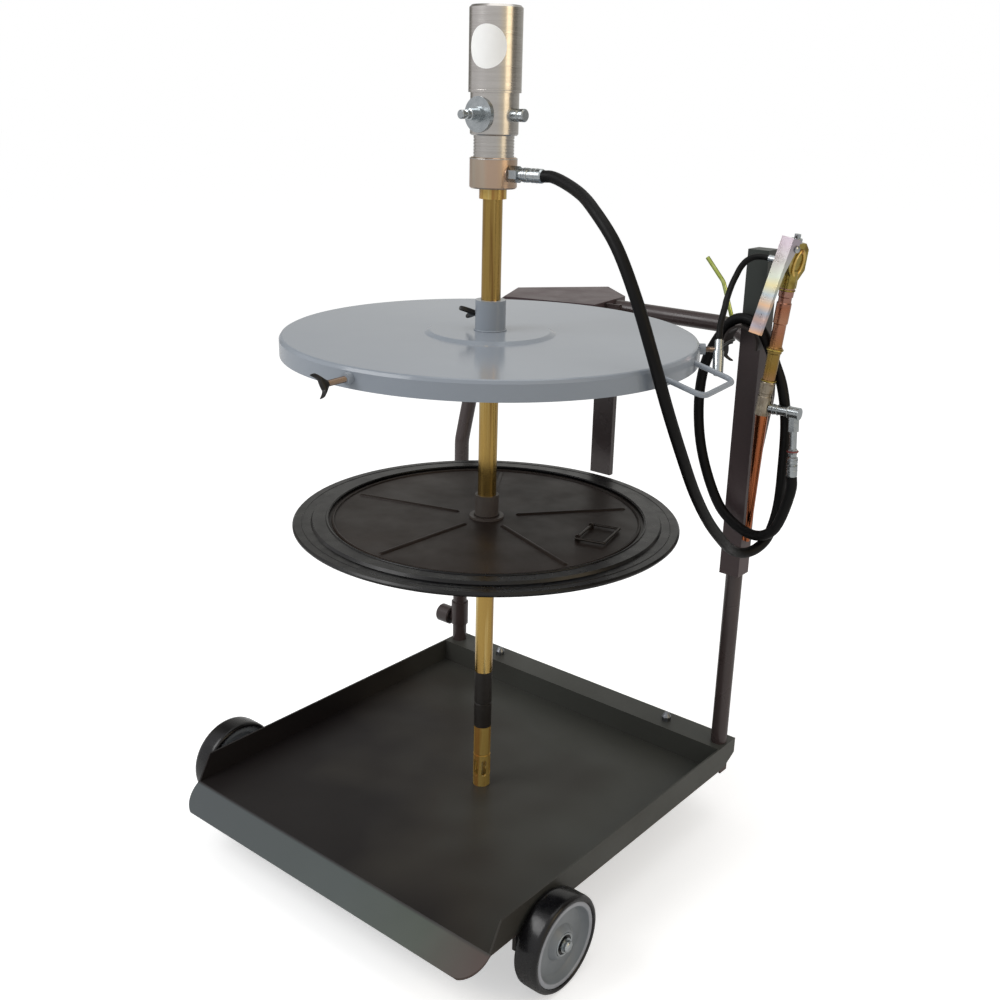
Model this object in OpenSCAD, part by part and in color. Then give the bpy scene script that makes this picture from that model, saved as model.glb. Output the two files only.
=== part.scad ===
/*
  Air operated grease pump kit carried on a drum trolley: pump, drum cover,
  follower plate, delivery hose and control gun.
  Millimetres, +Z up. The wheels and castors stand on z = 0 and the loading
  lip of the tray faces -Y. Inside the modules x = 0 is the middle of the tray
  and y = 0 the pump axis. place() moves each piece so that the origin lies
  under the middle of the whole kit.
*/

/* [Trolley tray] */
// Outside width of the tray
tray_w = 624; // [600:1:680]
// Pump axis to the crease of the front lip
tray_front = 304; // [290:1:320]
// Pump axis to the inner face of the rear wall
tray_rear = 291; // [285:1:300]
// Height of the underside of the floor
tray_base = 103; // [100:1:108]
// Thickness of the tray's sheet
sheet_t = 3; // [2:0.5:4]
// Height of the tray from its underside to the top of the walls
tray_h = 44; // [36:1:60]
// Depth of the rear flange that carries the handle
flange_d = 53; // [50:1:60]
// Height of the flange's turned down edge
flange_drop = 27; // [15:1:32]
// Horizontal run of the sloping front lip
lip_run = 40; // [30:1:60]
// Drop of the sloping front lip
lip_drop = 28; // [15:1:40]
// Corner radius of the lip and of the tray's front
lip_corner_r = 36; // [10:1:38]

/* [Wheels and castors] */
// Diameter of the front wheels
wheel_d = 144; // [120:1:150]
// Width of the tyres
wheel_w = 38; // [26:1:40]
// Diameter of the wheel rims
rim_d = 126; // [100:1:128]
// Gap between the tray's right side and its wheel
wheel_gap = 4.4; // [4:0.1:12]
// Gap between the tray's left side and its wheel
left_gap = 36.4; // [4:0.1:40]
// Pump axis to the wheel axle, forwards
wheel_y = 190; // [160:1:200]
// Diameter of the wheel axle
axle_d = 12; // [10:1:18]
// Diameter of the castor wheels
castor_d = 75; // [60:1:76]
// Width of the castor wheels
castor_w = 25; // [18:1:30]
// Trolley middle to a castor's swivel axis
castor_x = 190; // [150:1:200]
// Trail of the castor wheels
castor_trail = 24; // [15:1:30]

/* [Handle] */
// Diameter of the handle tube
handle_d = 27; // [25:0.5:28]
// Wall of the handle tube
handle_wall = 2; // [1.5:0.5:3]
// Distance between the handle's uprights
handle_span = 590; // [588:1:592]
// Height where the handle starts to lean back
handle_bend_z = 552; // [540:1:560]
// Angle of the handle's lean
handle_lean = 15.5; // [10:0.5:18]
// Length of the leaning uprights between the bends
handle_upper = 169.2; // [160:0.1:175]
// Radius of the handle's top bends
handle_top_r = 110; // [80:1:120]

/* [Post and shelf] */
// Width of the gun post
post_w = 34; // [32:0.5:38]
// Depth of the gun post
post_d = 33; // [28:1:36]
// Wall of the gun post
post_t = 2.5; // [2:0.5:2.5]
// Height of the post's lower end
post_z0 = 458; // [440:1:480]
// Height of the post's top
post_z1 = 972; // [960:1:980]
// Width of the shelf's bracket channel
channel_w = 41; // [30:1:50]
// Width of the shelf plate along X
shelf_w = 250; // [246:1:254]
// Depth of the shelf plate along Y
shelf_d = 225; // [215:1:228]
// Radius of the hose rest
rest_r = 28; // [24:0.5:29]

/* [Pump] */
// Trolley middle to the pump axis
pump_x = 35.5; // [30:0.5:40]
// Diameter of the air motor
motor_d = 72; // [64:1:80]
// Length of the air motor's barrel
motor_l = 109; // [90:1:130]
// Diameter of the valve body under the motor
valve_d = 66.4; // [60:0.2:68]
// Length of the valve body
valve_l = 55; // [45:1:60]
// Diameter of the ribbed neck under the valve body
neck_d = 56; // [50:1:60]
// Length of the ribbed neck
neck_l = 28.5; // [25:0.5:35]
// Diameter of the grease outlet block
outlet_d = 66; // [60:1:70]
// Length of the grease outlet block
outlet_l = 41.5; // [36:0.5:50]
// Diameter of the suction tube
tube_d = 28; // [26:0.5:30]
// Height of the suction tube's top
tube_top = 1055; // [1050:1:1060]
// Length of the dark pump cylinder at the tube's foot
cylinder_l = 98; // [80:1:120]
// Diameter of the foot valve
foot_d = 28; // [24:0.5:28]
// Length of the foot valve
foot_l = 108; // [90:1:110]

/* [Drum cover] */
// Diameter of the drum cover
cover_d = 600; // [580:1:604]
// Height of the cover's upper face
cover_top = 853.6; // [850:0.1:856]
// Height of the cover's skirt
skirt_h = 27.6; // [25:0.2:40]
// Thickness of the cover's sheet
cover_t = 2; // [1.5:0.5:3]
// Diameter of the sleeves round the suction tube
sleeve_d = 44; // [40:1:50]
// Height of the cover's sleeve above the cover
sleeve_h = 47.4; // [40:0.2:60]
// Diameter of the clamping studs
stud_d = 8; // [6:1:10]
// Width of the wire loop at the rim
loop_w = 107; // [90:1:120]
// Reach of the wire loop beyond the rim
loop_reach = 56; // [45:1:60]
// Diameter of the wire loop's rod
loop_rod = 7.5; // [6:0.5:9]

/* [Follower plate] */
// Diameter of the follower over its rubber lip
follower_d = 582; // [560:1:590]
// Height of the follower's underside
follower_z = 565; // [560:1:575]
// Diameter of the follower's steel disc
disc_d = 476; // [440:1:500]
// Number of pressed ribs in the disc
rib_n = 5; // [3:1:7]
// Length of the bail
bail_w = 67; // [50:1:80]
// Depth of the bail
bail_l = 42; // [30:1:60]

/* [Control gun] */
// Diameter of the gun's lower collar
gun_collar_d = 22; // [20:0.5:24]
// Diameter of the gun's grip tube
grip_d = 21.5; // [18:0.5:22]
// Length of the gun's grip tube
grip_l = 139; // [130:1:150]
// Height of the gun's body
gun_body_l = 64; // [60:1:75]
// Length of the lever
lever_l = 140; // [110:1:150]
// Width of the lever
lever_w = 21; // [20:0.5:24]
// Diameter of the hanger's top that the gun stands on
hanger_d = 19; // [14:1:20]

/* [Extension pipe] */
// Diameter of the extension pipe
pipe_d = 7; // [6:0.5:8]
// Length of the pipe's straight lower part
pipe_l = 86; // [80:1:110]
// Length of the pipe's bent tip
pipe_tip_l = 44; // [25:1:48]
// Bend between the two
pipe_bend = 22; // [10:1:40]

/* [Hidden] */
$fn = 64;

// Clearances and overruns
over = 1;
run_fit = 0.05;
slip_fit = 0.1;
part_gap = 0.3;

// Tray
floor_top = tray_base + sheet_t;
wall_top = tray_base + tray_h;
flange_back = tray_rear + flange_d;
wall_slant_share = 0.514;
wall_slant = tray_h * wall_slant_share;
ear_d = 44;
ear_step = 23;
ear_drop = 6;
ear_rise = 5;
lip_a = atan2(lip_drop, lip_run);

// Wheels
wheel_r = wheel_d / 2;
wheel_x = tray_w / 2 + wheel_gap + wheel_w / 2;
left_x = tray_w / 2 + left_gap + wheel_w / 2;
tyre_step = 2;
tyre_bevel = 5;
rim_lip = 5;
hub_d = 40;
hub_l = 32;
hub_taper = 12;
web_t = 7;
bracket_in = 15;
bracket_t = 6;
bracket_l = 90;
bracket_drop = 42;
bush_d = 26;
cap_d = 17;
cap_h = 7;
washer_d = 34;
washer_t = 1.6;

// Castors
castor_y = 318;
stem_d = 12;
stem_head_d = 20;
stem_head_h = 4;
crown_t = 5;
crown_d = 58;
fork_t = 3;
fork_gap = 2;
castor_axle_d = 10;
castor_wall = 3;
nut_d = 16;
nut_h = 14;

// Handle
handle_r = handle_d / 2;
handle_x = handle_span / 2;
handle_y = 317;
handle_bend_r = 60;
lean_y = handle_y + handle_bend_r * (1 - cos(handle_lean));
lean_z = handle_bend_z + handle_bend_r * sin(handle_lean);
bar_up = handle_upper + handle_top_r;
bar_y = lean_y + bar_up * sin(handle_lean);
bar_z = lean_z + bar_up * cos(handle_lean);
bar_l = handle_span - 2 * handle_top_r;
collar_d = 33;
collar_z0 = 182;
collar_l = 46;
knob_z = 190;
knob_d = 35;
knob_l = 30;
knob_edge = 2;
knob_neck_d = 18;
knob_neck_l = 1;
collar_boss_d = 16;
collar_boss_l = 2;

// Post, channel, shelf and hose rest
post_y0 = 297;
post_x = handle_x;
pad_l = 25;
pad_z_shares = [0.025, 0.14];
post_l = post_z1 - post_z0;
channel_t = 2;
channel_d = 10;
channel_y = 350;
shelf_t = 2;
shelf_lip_h = 10;
shelf_x0 = -205;
shelf_tuck = 32;
shelf_y0 = cover_d / 2 - shelf_tuck;
shelf_z = bar_z + handle_r;
shelf_shares = [[0.18, 0], [0, 0.42], [0.42, 1], [0.75, 0.7], [0.81, 0.2]];
saddle_w = 24;
saddle_at = [-100, -36];
rest_t = 2.5;
rest_l = 27;
rest_x = 292;
rest_z = 834.5;
rest_lip = 5;

// Pump
foot_wall = 3;
slot_w = 8;
slot_l = 29;
slot_z = 19;
slot_n = 6;
slot_turn = -34;
groove_z = 56;
groove_w = 3;
groove_deep = 0.8;
seat_z = 62;
seat_t = 5;
seat_d = 12;
ball_d = 16;
cylinder_wall = 4;
joint_shares = [[1, 0], [1, 0.42], [0.93, 0.43], [0.93, 0.44], [1, 0.45], [1, 1]];
tube_wall = 2;
rod_d = 10;
piston_t = 14;
plunger_t = 10;
plunger_rest = 8;
motor_wall = 3;
motor_edge = 3;
valve_edge = 2;
neck_groove = 1.2;
neck_groove_n = 6;
neck_groove_shares = [[0, 0.6], [1, 0.6], [1, 0.9], [0, 0.9]];
inlet_z_share = 0.49;
inlet_disc_d = 46.6;
inlet_disc_t = 8;
inlet_reach = 70;
nipple_shares = [[0, 10], [0.12, 10], [0.12, 7.5], [0.5, 7.5], [0.52, 6], [0.7, 6],
  [0.72, 4.5], [0.8, 4.5], [0.82, 5.8], [0.97, 5.8], [1, 5]];
plug_d = 17;
plug_shares = [[1, 0], [1, 0.62], [0.82, 0.66], [0.82, 0.72], [1, 0.76], [1, 0.95], [0.82, 1]];
plug_reach = 54;
gland_d = 38.3;
gland_h = 14;
outlet_boss_d = 26;
outlet_boss_x = 31.5;
fitting_d = 22;
fitting_x1 = 47.5;
ferrule_d = 19;
ferrule_x1 = 87.5;
ferrule_shares = [[0.78, 0], [0.78, 0.12], [1, 0.16], [1, 0.4], [0.88, 0.42], [0.88, 0.5],
  [1, 0.52], [1, 0.94], [0.88, 1]];
foot_z = floor_top;
cylinder_z = foot_z + foot_l;
tube_z = cylinder_z + cylinder_l;
valve_z = tube_top + outlet_l + neck_l;
motor_z = valve_z + valve_l;
outlet_z = tube_top + outlet_l / 2;
inlet_z = valve_z + valve_l * inlet_z_share;

// Cover
rise_d = 190;
rise_h = 4;
rise_slope = 8;
edge_r = 5;
boss_d = 16;
boss_l = 9;
boss_drop = 13.8;
rim_stud_l = 22;
front_stud_l = 32;
wing_hub_d = 12;
wing_hub_l = 12;
wing_l = 14;
wing_w = 9;
wing_t = 6;
wing_a = 48;
sleeve_stud_l = 2;
front_spin = 30;
right_spin = 10;
left_spin = 90;
sleeve_spin = -60;
sleeve_screw_up = 26.4;
rim_angle_front = -85.5;
rim_angle_right = 36.5;
rim_angle_left = 156.5;
sleeve_angle = 200;
loop_angle = 7.8;
loop_drop = 15.6;
loop_bend = 14;
loop_tilt = 16;
cover_z = cover_top - skirt_h;
screw_z = cover_top - boss_drop;

// Follower
lip_t = 3;
lip_step_d = 528;
lip_ring_h = 7;
lip_h = 11;
lip_edge = 2.5;
disc_t = 4;
rib_r = 6;
rib_h = 2.4;
rib_from = 50;
rib_margin = 22;
ring_bead_d = 5;
ring_bead_at = 231;
rib_turn = -20;
follower_sleeve_h = 36;
follower_sleeve_d = 36;
flange_ring_d = 52;
flange_ring_t = 3;
bail_rod = 4;
bail_angle = 15;
bail_at = 159;
lug_t = 3;
lug_h = 8;
disc_z = follower_z + lip_t;
disc_top = disc_z + disc_t;

// Gun
gun_x = 338;
gun_y = 272;
gun_z = 737;
gun_tilt = 6.1;
gun_turn = -13;
gun_collar_l = 52;
gun_collar_shares = [[1, 0], [1, 0.55], [0.9, 0.57], [0.9, 0.64], [1, 0.66], [1, 0.96], [0.9, 1]];
grip_shares = [[0.88, 0], [0.88, 0.3], [1, 0.31], [1, 0.37], [0.88, 0.38], [0.88, 0.62],
  [1, 0.63], [1, 0.84], [0.88, 0.85], [0.88, 0.9], [1, 0.91], [1, 1]];
body_t = 16;
body_shares = [[-0.15, 0], [-0.15, 0.3], [-0.24, 0.45], [-0.24, 0.9], [-0.14, 1],
  [0.2, 1], [0.32, 0.86], [0.32, 0.4], [0.15, 0.18], [0.15, 0]];
gun_neck_d = 22;
gun_neck_share = 0.4;
gun_cap_d = 17;
gun_cap_h = 6;
gun_tip_d = 9;
gun_tip_h = 6;
pivot_y = 10;
pivot_up = 57;
pin_d = 5;
lever_t = 2;
lever_off = 12;
lever_top = 13;
lever_open = 13.5;
flange_shares = [[1, 0], [0.28, 0.35], [0.16, 1]];
outlet_up = 34.5;
outlet_d2 = 10;
outlet_hex = 16;
outlet_hex_l = 9;
outlet_out = 36.2;
elbow_z = 748;
elbow_x0 = 350.6;
elbow_x1 = 400;
elbow_leg_x = 389;
elbow_lean = 4.17;
elbow_d = 11;
elbow_head_d = 18;
elbow_ring_d = 15;
elbow_ring_w = 6;
elbow_hex_d = 17;
elbow_hex_l = 27;
elbow_leg_l = 54;
gun_ferrule_at = 61.2;
gun_ferrule_d = 16;
gun_ferrule_l = 35;
hanger_bottom = [318, 303, 522];
hanger_tip_d = 9;
hanger_foot_w = 8;
hanger_foot_l = 14;
body_z = gun_collar_l + grip_l;

// Extension pipe and its holder
pipe_foot = [209, 414.5, 815];
pipe_lean = 20.4;
pipe_bend_r = 24;
holder_wall = 2.5;
holder_l = 32;
holder_w = 10;

// Middle of the whole kit over the ground
hub_reach = left_x + hub_l / 2 + washer_t + cap_h;
mid_x = (elbow_x1 - hub_reach) / 2;
front_reach = max(tray_front + lip_run, cover_d / 2 + boss_l + front_stud_l + wing_hub_l / 2 + wing_l);
mid_y = (shelf_y0 + shelf_d - front_reach) / 2;

// Routes of the two hoses, chosen by hand
hose_d = 16;
hose_sides = 12;
hose_route = [
  [123.4, 0, 1075.7], [138, 0, 1075.7], [194, -16, 1060], [237, -38, 1040],
  [279, -50, 1003], [317, -55, 941], [342, -48, 872], [353, -23, 802], [358, 12, 735],
  [359, 53, 672], [356, 104, 616], [350, 162, 569], [338, 209, 541], [337, 233, 528],
  [343, 253, 522], [350, 272, 525], [357, 288, 537], [361, 298, 558], [366, 300, 591],
  [371, 292, 653], [367, 293, 729], [356, 292, 780], [342, 292, 810], [332, 284, 838],
  [322, 279, 858], [308, 279, 869], [290, 280, 873], [273, 282, 868], [257, 284, 851],
  [232, 284, 804], [223, 285, 746], [232, 284, 671], [258, 282, 605], [285, 277, 570],
  [317, 273, 552], [344, 270, 547], [363, 269, 552], [379, 270, 567], [397.4, 272, 633.3],
  [396.1, 272, 651.3]
];
thin_d = 9;
thin_sides = 8;
thin_route = [
  [326, 272, 965.1], [316, 272, 966.1], [304.5, 269.5, 965], [295, 264.5, 959.5],
  [289.5, 258, 950], [288, 250, 939.5], [288.5, 240, 930], [291, 229, 921.5],
  [295, 217, 914.5], [300, 204, 908.5], [306, 191, 903], [311, 179, 897.5],
  [315, 168, 889.5], [318.3, 159.1, 879.8], [321, 154.8, 871.2],
  [323.6, 150.6, 862.5]
];
coupler_top = [323.6, 150.6, 862.5];
coupler_l = 50;
coupler_lean = 30;
coupler_way = -58;
coupler_d = 15;
coupler_neck_d = 12;
coupler_neck_l = 15;
mouth_d = 6.6;
mouth_l = 12;

// ---- helpers

module place() translate([-mid_x, -mid_y, 0]) children();
module on_pump(z) translate([pump_x, 0, z]) children();
module pipe(d, wall, l) difference() {
  cylinder(d = d, h = l);
  translate([0, 0, -over]) cylinder(d = d - 2 * wall, h = l + 2 * over);
}
// Solid turned part on local +Z from a table of shares of its radius and length
module turned(d, l, shares) rotate_extrude()
  polygon(concat([[0, 0]], [for (q = shares) [q[0] * d / 2, q[1] * l]], [[0, l]]));
module along_x(l) rotate([90, 0, 90]) linear_extrude(l, center = true) children();
module radial(a, r, z) rotate([0, 0, a]) translate([r, 0, z]) rotate([0, 90, 0]) children();
module gun_frame() translate([gun_x, gun_y, gun_z]) rotate([0, gun_tilt, 0]) children();
module lever_frame() gun_frame() rotate([0, 0, gun_turn])
  translate([0, -pivot_y, body_z + pivot_up]) children();

function unit(v) = v / norm(v);
function turn_to(v) = [0, acos(unit(v)[2]), atan2(v[1], v[0])];
// Direction of a route at one of its points
function heading(p, i) = unit(p[min(i + 1, len(p) - 1)] - p[max(i - 1, 0)]);
// Cross direction carried along a route without twist
function frame_u(p, i) = i == 0
  ? unit(cross(heading(p, 0), [0, 1, 0.3]))
  : let (t = heading(p, i), u = frame_u(p, i - 1)) unit(u - (u * t) * t);
function frames(p) = [for (i = 0, u = frame_u(p, 0); i < len(p);
  i = i + 1, u = i < len(p) ? let (t = heading(p, i)) unit(u - (u * t) * t) : u) u];
// Round cord swept along a route
module cord(p, d, n) {
  us = frames(p);
  pts = [for (i = [0 : len(p) - 1]) let (t = heading(p, i), u = us[i], v = cross(t, u))
    for (k = [0 : n - 1]) p[i] + d / 2 * (cos(360 * k / n) * u + sin(360 * k / n) * v)];
  last = (len(p) - 1) * n;
  polyhedron(pts, concat(
    [[for (k = [0 : n - 1]) k]],
    [for (i = [0 : len(p) - 2]) for (k = [0 : n - 1])
      let (a = i * n + k, b = i * n + (k + 1) % n) [a, a + n, b]],
    [for (i = [0 : len(p) - 2]) for (k = [0 : n - 1])
      let (a = i * n + k, b = i * n + (k + 1) % n) [b, a + n, b + n]],
    [[for (k = [n - 1 : -1 : 0]) last + k]]));
}

// ---- tray

module tray_section() polygon([
  [-tray_front, tray_base], [tray_rear + sheet_t, tray_base],
  [tray_rear + sheet_t, wall_top - sheet_t], [flange_back - sheet_t, wall_top - sheet_t],
  [flange_back - sheet_t, wall_top - flange_drop], [flange_back, wall_top - flange_drop],
  [flange_back, wall_top], [tray_rear, wall_top], [tray_rear, floor_top],
  [-tray_front, floor_top]]);
module side_section() polygon([
  [-tray_front, tray_base], [flange_back - ear_d, tray_base],
  [flange_back - ear_d, tray_base - ear_drop], [flange_back - ear_step, tray_base - ear_drop],
  [flange_back - ear_step, tray_base + ear_rise], [flange_back, wall_top - flange_drop],
  [flange_back, wall_top], [-tray_front + wall_slant, wall_top], [-tray_front, floor_top]]);
module lip_section() polygon([
  [-tray_front, floor_top], [-tray_front + sheet_t * tan(lip_a / 2), tray_base],
  [-tray_front - lip_run + sheet_t * sin(lip_a), floor_top - lip_drop - sheet_t * cos(lip_a)],
  [-tray_front - lip_run, floor_top - lip_drop]]);
module lip_plan() {
  lip_y = tray_front + lip_run;
  in_x = tray_w / 2 - lip_corner_r;
  translate([-tray_w / 2, -lip_y + lip_corner_r]) square([tray_w, lip_y]);
  translate([-in_x, -lip_y]) square([2 * in_x, lip_y]);
  for (s = [-1, 1]) translate([s * in_x, -lip_y + lip_corner_r]) circle(r = lip_corner_r);
}
module tray() place() color("#3e3a36") difference() {
  union() {
    along_x(tray_w) tray_section();
    for (s = [-1, 1]) translate([s * (tray_w - sheet_t) / 2, 0, 0]) along_x(sheet_t) side_section();
    intersection() {
      along_x(tray_w) lip_section();
      linear_extrude(wall_top) lip_plan();
    }
  }
  for (s = [-1, 1]) translate([s * castor_x, castor_y, wall_top - sheet_t - over])
    cylinder(d = stem_d + 2 * slip_fit, h = sheet_t + 2 * over);
}

// ---- front wheels

module at_axle(x) translate([x, -wheel_y, wheel_r]) rotate([0, 90, 0]) children();
module wheel_axle() place() color("silver") {
  past = hub_l / 2 + washer_t + cap_h / 2;
  at_axle(-left_x - past) cylinder(d = axle_d, h = left_x + wheel_x + 2 * past);
}
module axle_brackets() place() color("#3e3a36") {
  bx = tray_w / 2 - bracket_in;
  for (s = [-1, 1]) difference() {
    union() {
      translate([s * bx - bracket_t / 2, -wheel_y - bracket_l / 2, tray_base - bracket_drop])
        cube([bracket_t, bracket_l, bracket_drop]);
      translate([s * bx - bracket_t / 2 - (s > 0 ? bracket_t : -bracket_t),
        -wheel_y - bracket_l / 2, tray_base - sheet_t]) cube([bracket_t, bracket_l, sheet_t]);
      bush_l = (s > 0 ? wheel_x : left_x) - hub_l / 2 - bx - part_gap;
      at_axle(s > 0 ? bx : -bx - bush_l) cylinder(d = bush_d, h = bush_l);
    }
    at_axle(s * bx - wheel_w * 2) cylinder(d = axle_d + 2 * slip_fit, h = wheel_w * 4);
  }
}
module axle_caps() place() color("silver") for (s = [-1, 1])
  translate([s * ((s > 0 ? wheel_x : left_x) + hub_l / 2 + part_gap), -wheel_y, wheel_r])
    rotate([0, s * 90, 0])
    difference() {
      union() {
        cylinder(d = washer_d, h = washer_t);
        cylinder(d = cap_d, h = cap_h);
        translate([0, 0, cap_h]) cylinder(d1 = cap_d, d2 = axle_d / 2, h = washer_t);
      }
      translate([0, 0, -over])
        cylinder(d = axle_d, h = over + washer_t + cap_h / 2 - part_gap);
    }
module rim(x, s) at_axle(x) mirror([0, 0, s > 0 ? 0 : 1]) difference() {
  rotate_extrude() polygon([
    [axle_d / 2 + run_fit, -hub_l / 2], [hub_d / 2, -hub_l / 2],
    [hub_d / 2 + hub_taper, -web_t / 2], [rim_d / 2 - 2 * rim_lip, -web_t / 2],
    [rim_d / 2 - rim_lip, -wheel_w / 2 + tyre_step], [rim_d / 2, -wheel_w / 2 + tyre_step],
    [rim_d / 2, wheel_w / 2 - tyre_step], [rim_d / 2 - rim_lip, wheel_w / 2 - tyre_step],
    [rim_d / 2 - 2 * rim_lip, web_t / 2], [hub_d / 2 + hub_taper, web_t / 2],
    [hub_d / 2, hub_l / 2], [axle_d / 2 + run_fit, hub_l / 2]]);
}
module tyre(x) at_axle(x) rotate_extrude() polygon([
  [rim_d / 2, -wheel_w / 2 + tyre_step], [rim_d / 2 + tyre_step, -wheel_w / 2],
  [wheel_r - tyre_bevel, -wheel_w / 2], [wheel_r, -wheel_w / 2 + tyre_bevel],
  [wheel_r, wheel_w / 2 - tyre_bevel], [wheel_r - tyre_bevel, wheel_w / 2],
  [rim_d / 2 + tyre_step, wheel_w / 2], [rim_d / 2, wheel_w / 2 - tyre_step]]);
module tyre_left() place() color("#1c1c1d") tyre(-left_x);
module tyre_right() place() color("#1c1c1d") tyre(wheel_x);
module rim_left() place() color("#787c80") rim(-left_x, -1);
module rim_right() place() color("#787c80") rim(wheel_x, 1);

// ---- rear castors

crown_z = castor_d + castor_wall + stem_head_h + part_gap;
module castor_stems() place() color("silver") for (s = [-1, 1])
  translate([s * castor_x, castor_y, 0]) {
    translate([0, 0, castor_d + castor_wall]) cylinder(d = stem_head_d, h = stem_head_h);
    translate([0, 0, castor_d + castor_wall]) cylinder(d = stem_d, h = wall_top + nut_h / 2 - castor_d - castor_wall);
    translate([0, 0, crown_z + crown_t + part_gap])
      cylinder(d = nut_d, h = wall_top - sheet_t - crown_z - crown_t - part_gap);
    translate([0, 0, wall_top]) cylinder(d = nut_d, h = nut_h / 2);
    translate([0, 0, wall_top + nut_h / 2]) cylinder(d1 = nut_d, d2 = nut_d / 2, h = nut_h / 2);
  }
module castor_fork(s) translate([s * castor_x, castor_y, 0]) difference() {
  inner = castor_w / 2 + fork_gap;
  union() {
    translate([0, 0, crown_z]) intersection() {
      cylinder(d = crown_d, h = crown_t);
      translate([-inner - fork_t, -crown_d, 0]) cube([2 * (inner + fork_t), 2 * crown_d, crown_t]);
    }
    for (m = [-1, 1]) translate([m * (inner + fork_t / 2), 0, 0]) along_x(fork_t) {
      polygon([[-crown_d / 2, crown_z + crown_t], [crown_d / 2 - fork_t, crown_z + crown_t],
        [crown_d / 2 - fork_t, crown_z], [castor_trail + castor_axle_d, castor_d / 2],
        [castor_trail - castor_axle_d, castor_d / 2], [-crown_d / 2, crown_z]]);
      translate([castor_trail, castor_d / 2]) circle(r = castor_axle_d);
    }
    translate([-inner - fork_t * 2, castor_trail, castor_d / 2]) rotate([0, 90, 0])
      cylinder(d = castor_axle_d, h = 2 * inner + 4 * fork_t);
  }
  translate([0, 0, crown_z - over]) cylinder(d = stem_d + 2 * run_fit, h = crown_t + 2 * over);
}
module castor_wheel(s) translate([s * castor_x - castor_w / 2, castor_y + castor_trail, castor_d / 2])
  rotate([0, 90, 0]) difference() {
    rotate_extrude() polygon([[castor_axle_d / 2 + run_fit, 0], [castor_d / 2 - castor_wall, 0],
      [castor_d / 2, castor_wall], [castor_d / 2, castor_w - castor_wall],
      [castor_d / 2 - castor_wall, castor_w], [castor_axle_d / 2 + run_fit, castor_w]]);
  }
module castor_fork_left() place() color("silver") castor_fork(-1);
module castor_fork_right() place() color("silver") castor_fork(1);
module castor_wheel_left() place() color("#2a2a2c") castor_wheel(-1);
module castor_wheel_right() place() color("#2a2a2c") castor_wheel(1);

// ---- handle

module ring2d(ro, ri) difference() {
  circle(r = ro);
  if (ri > 0) circle(r = ri);
}
module handle_half(ro, ri) {
  translate([handle_x, handle_y, wall_top]) linear_extrude(handle_bend_z - wall_top) ring2d(ro, ri);
  translate([handle_x, handle_y + handle_bend_r, handle_bend_z]) rotate([90, 0, -90])
    rotate_extrude(angle = handle_lean) translate([handle_bend_r, 0]) ring2d(ro, ri);
  translate([0, lean_y, lean_z]) rotate([-handle_lean, 0, 0]) {
    translate([handle_x, 0, 0]) linear_extrude(handle_upper) ring2d(ro, ri);
    translate([bar_l / 2, 0, handle_upper]) rotate([90, 0, 0])
      rotate_extrude(angle = 90) translate([handle_top_r, 0]) ring2d(ro, ri);
    translate([0, 0, bar_up]) rotate([0, 90, 0]) linear_extrude(bar_l / 2) ring2d(ro, ri);
  }
}
module handle_shape(ro, ri) for (s = [0, 1]) mirror([s, 0, 0]) handle_half(ro, ri);
module handle_tube() place() color("#35322f") handle_shape(handle_r, handle_r - handle_wall);
module handle_collar() place() color("#35322f") difference() {
  translate([-handle_x, handle_y, 0]) union() {
    translate([0, 0, collar_z0]) cylinder(d = collar_d, h = collar_l);
    translate([-collar_d / 2 - collar_boss_l, 0, knob_z]) rotate([0, 90, 0])
      cylinder(d = collar_boss_d, h = collar_d / 2 + collar_boss_l);
  }
  translate([-handle_x, handle_y, collar_z0 - over])
    cylinder(r = handle_r + slip_fit, h = collar_l + 2 * over);
  translate([-handle_x - collar_d, handle_y, knob_z]) rotate([0, 90, 0])
    cylinder(d = stud_d + 2 * run_fit, h = collar_d);
}
module clamp_knob() place() color("#2b2a29")
  translate([-handle_x, handle_y, knob_z]) rotate([0, -90, 0]) {
    from = handle_r + part_gap;
    neck = collar_d / 2 + collar_boss_l + part_gap;
    translate([0, 0, from]) cylinder(d = stud_d, h = neck - from + knob_neck_l);
    translate([0, 0, neck]) cylinder(d = knob_neck_d, h = knob_neck_l);
    translate([0, 0, neck + knob_neck_l]) rotate_extrude() polygon([
      [0, 0], [knob_d / 2 - knob_edge, 0], [knob_d / 2, knob_edge],
      [knob_d / 2, knob_l - knob_edge], [knob_d / 2 - knob_edge, knob_l], [0, knob_l]]);
  }

// ---- post, shelf and hose rest

module post() place() color("#34322f") translate([post_x, post_y0, 0]) {
  difference() {
    translate([-post_w / 2, 0, post_z0]) cube([post_w, post_d, post_l]);
    translate([-post_w / 2 + post_t, post_t, post_z0 - over])
      cube([post_w - 2 * post_t, post_d, post_l - post_t + over]);
  }
  for (q = pad_z_shares) difference() {
    translate([-post_w / 2 + post_t, post_t, post_z0 + q * post_l])
      cube([post_w - 2 * post_t, handle_y - post_y0 - post_t, pad_l]);
    translate([0, handle_y - post_y0, 0]) cylinder(r = handle_r, h = post_z1);
  }
}
module shelf_channel() place() color("#34322f") translate([0, channel_y, handle_bend_z])
  difference() {
    translate([-channel_w / 2, 0, 0]) cube([channel_w, channel_d, shelf_z - handle_bend_z]);
    translate([-channel_w / 2 + channel_t, channel_t, -over])
      cube([channel_w - 2 * channel_t, channel_d, shelf_z - handle_bend_z + 2 * over]);
  }
shelf_pts = [for (q = shelf_shares) [shelf_x0 + q[0] * shelf_w, shelf_y0 + q[1] * shelf_d]];
module at_bar() translate([-shelf_w, bar_y, bar_z]) rotate([0, 90, 0]) children();
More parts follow.
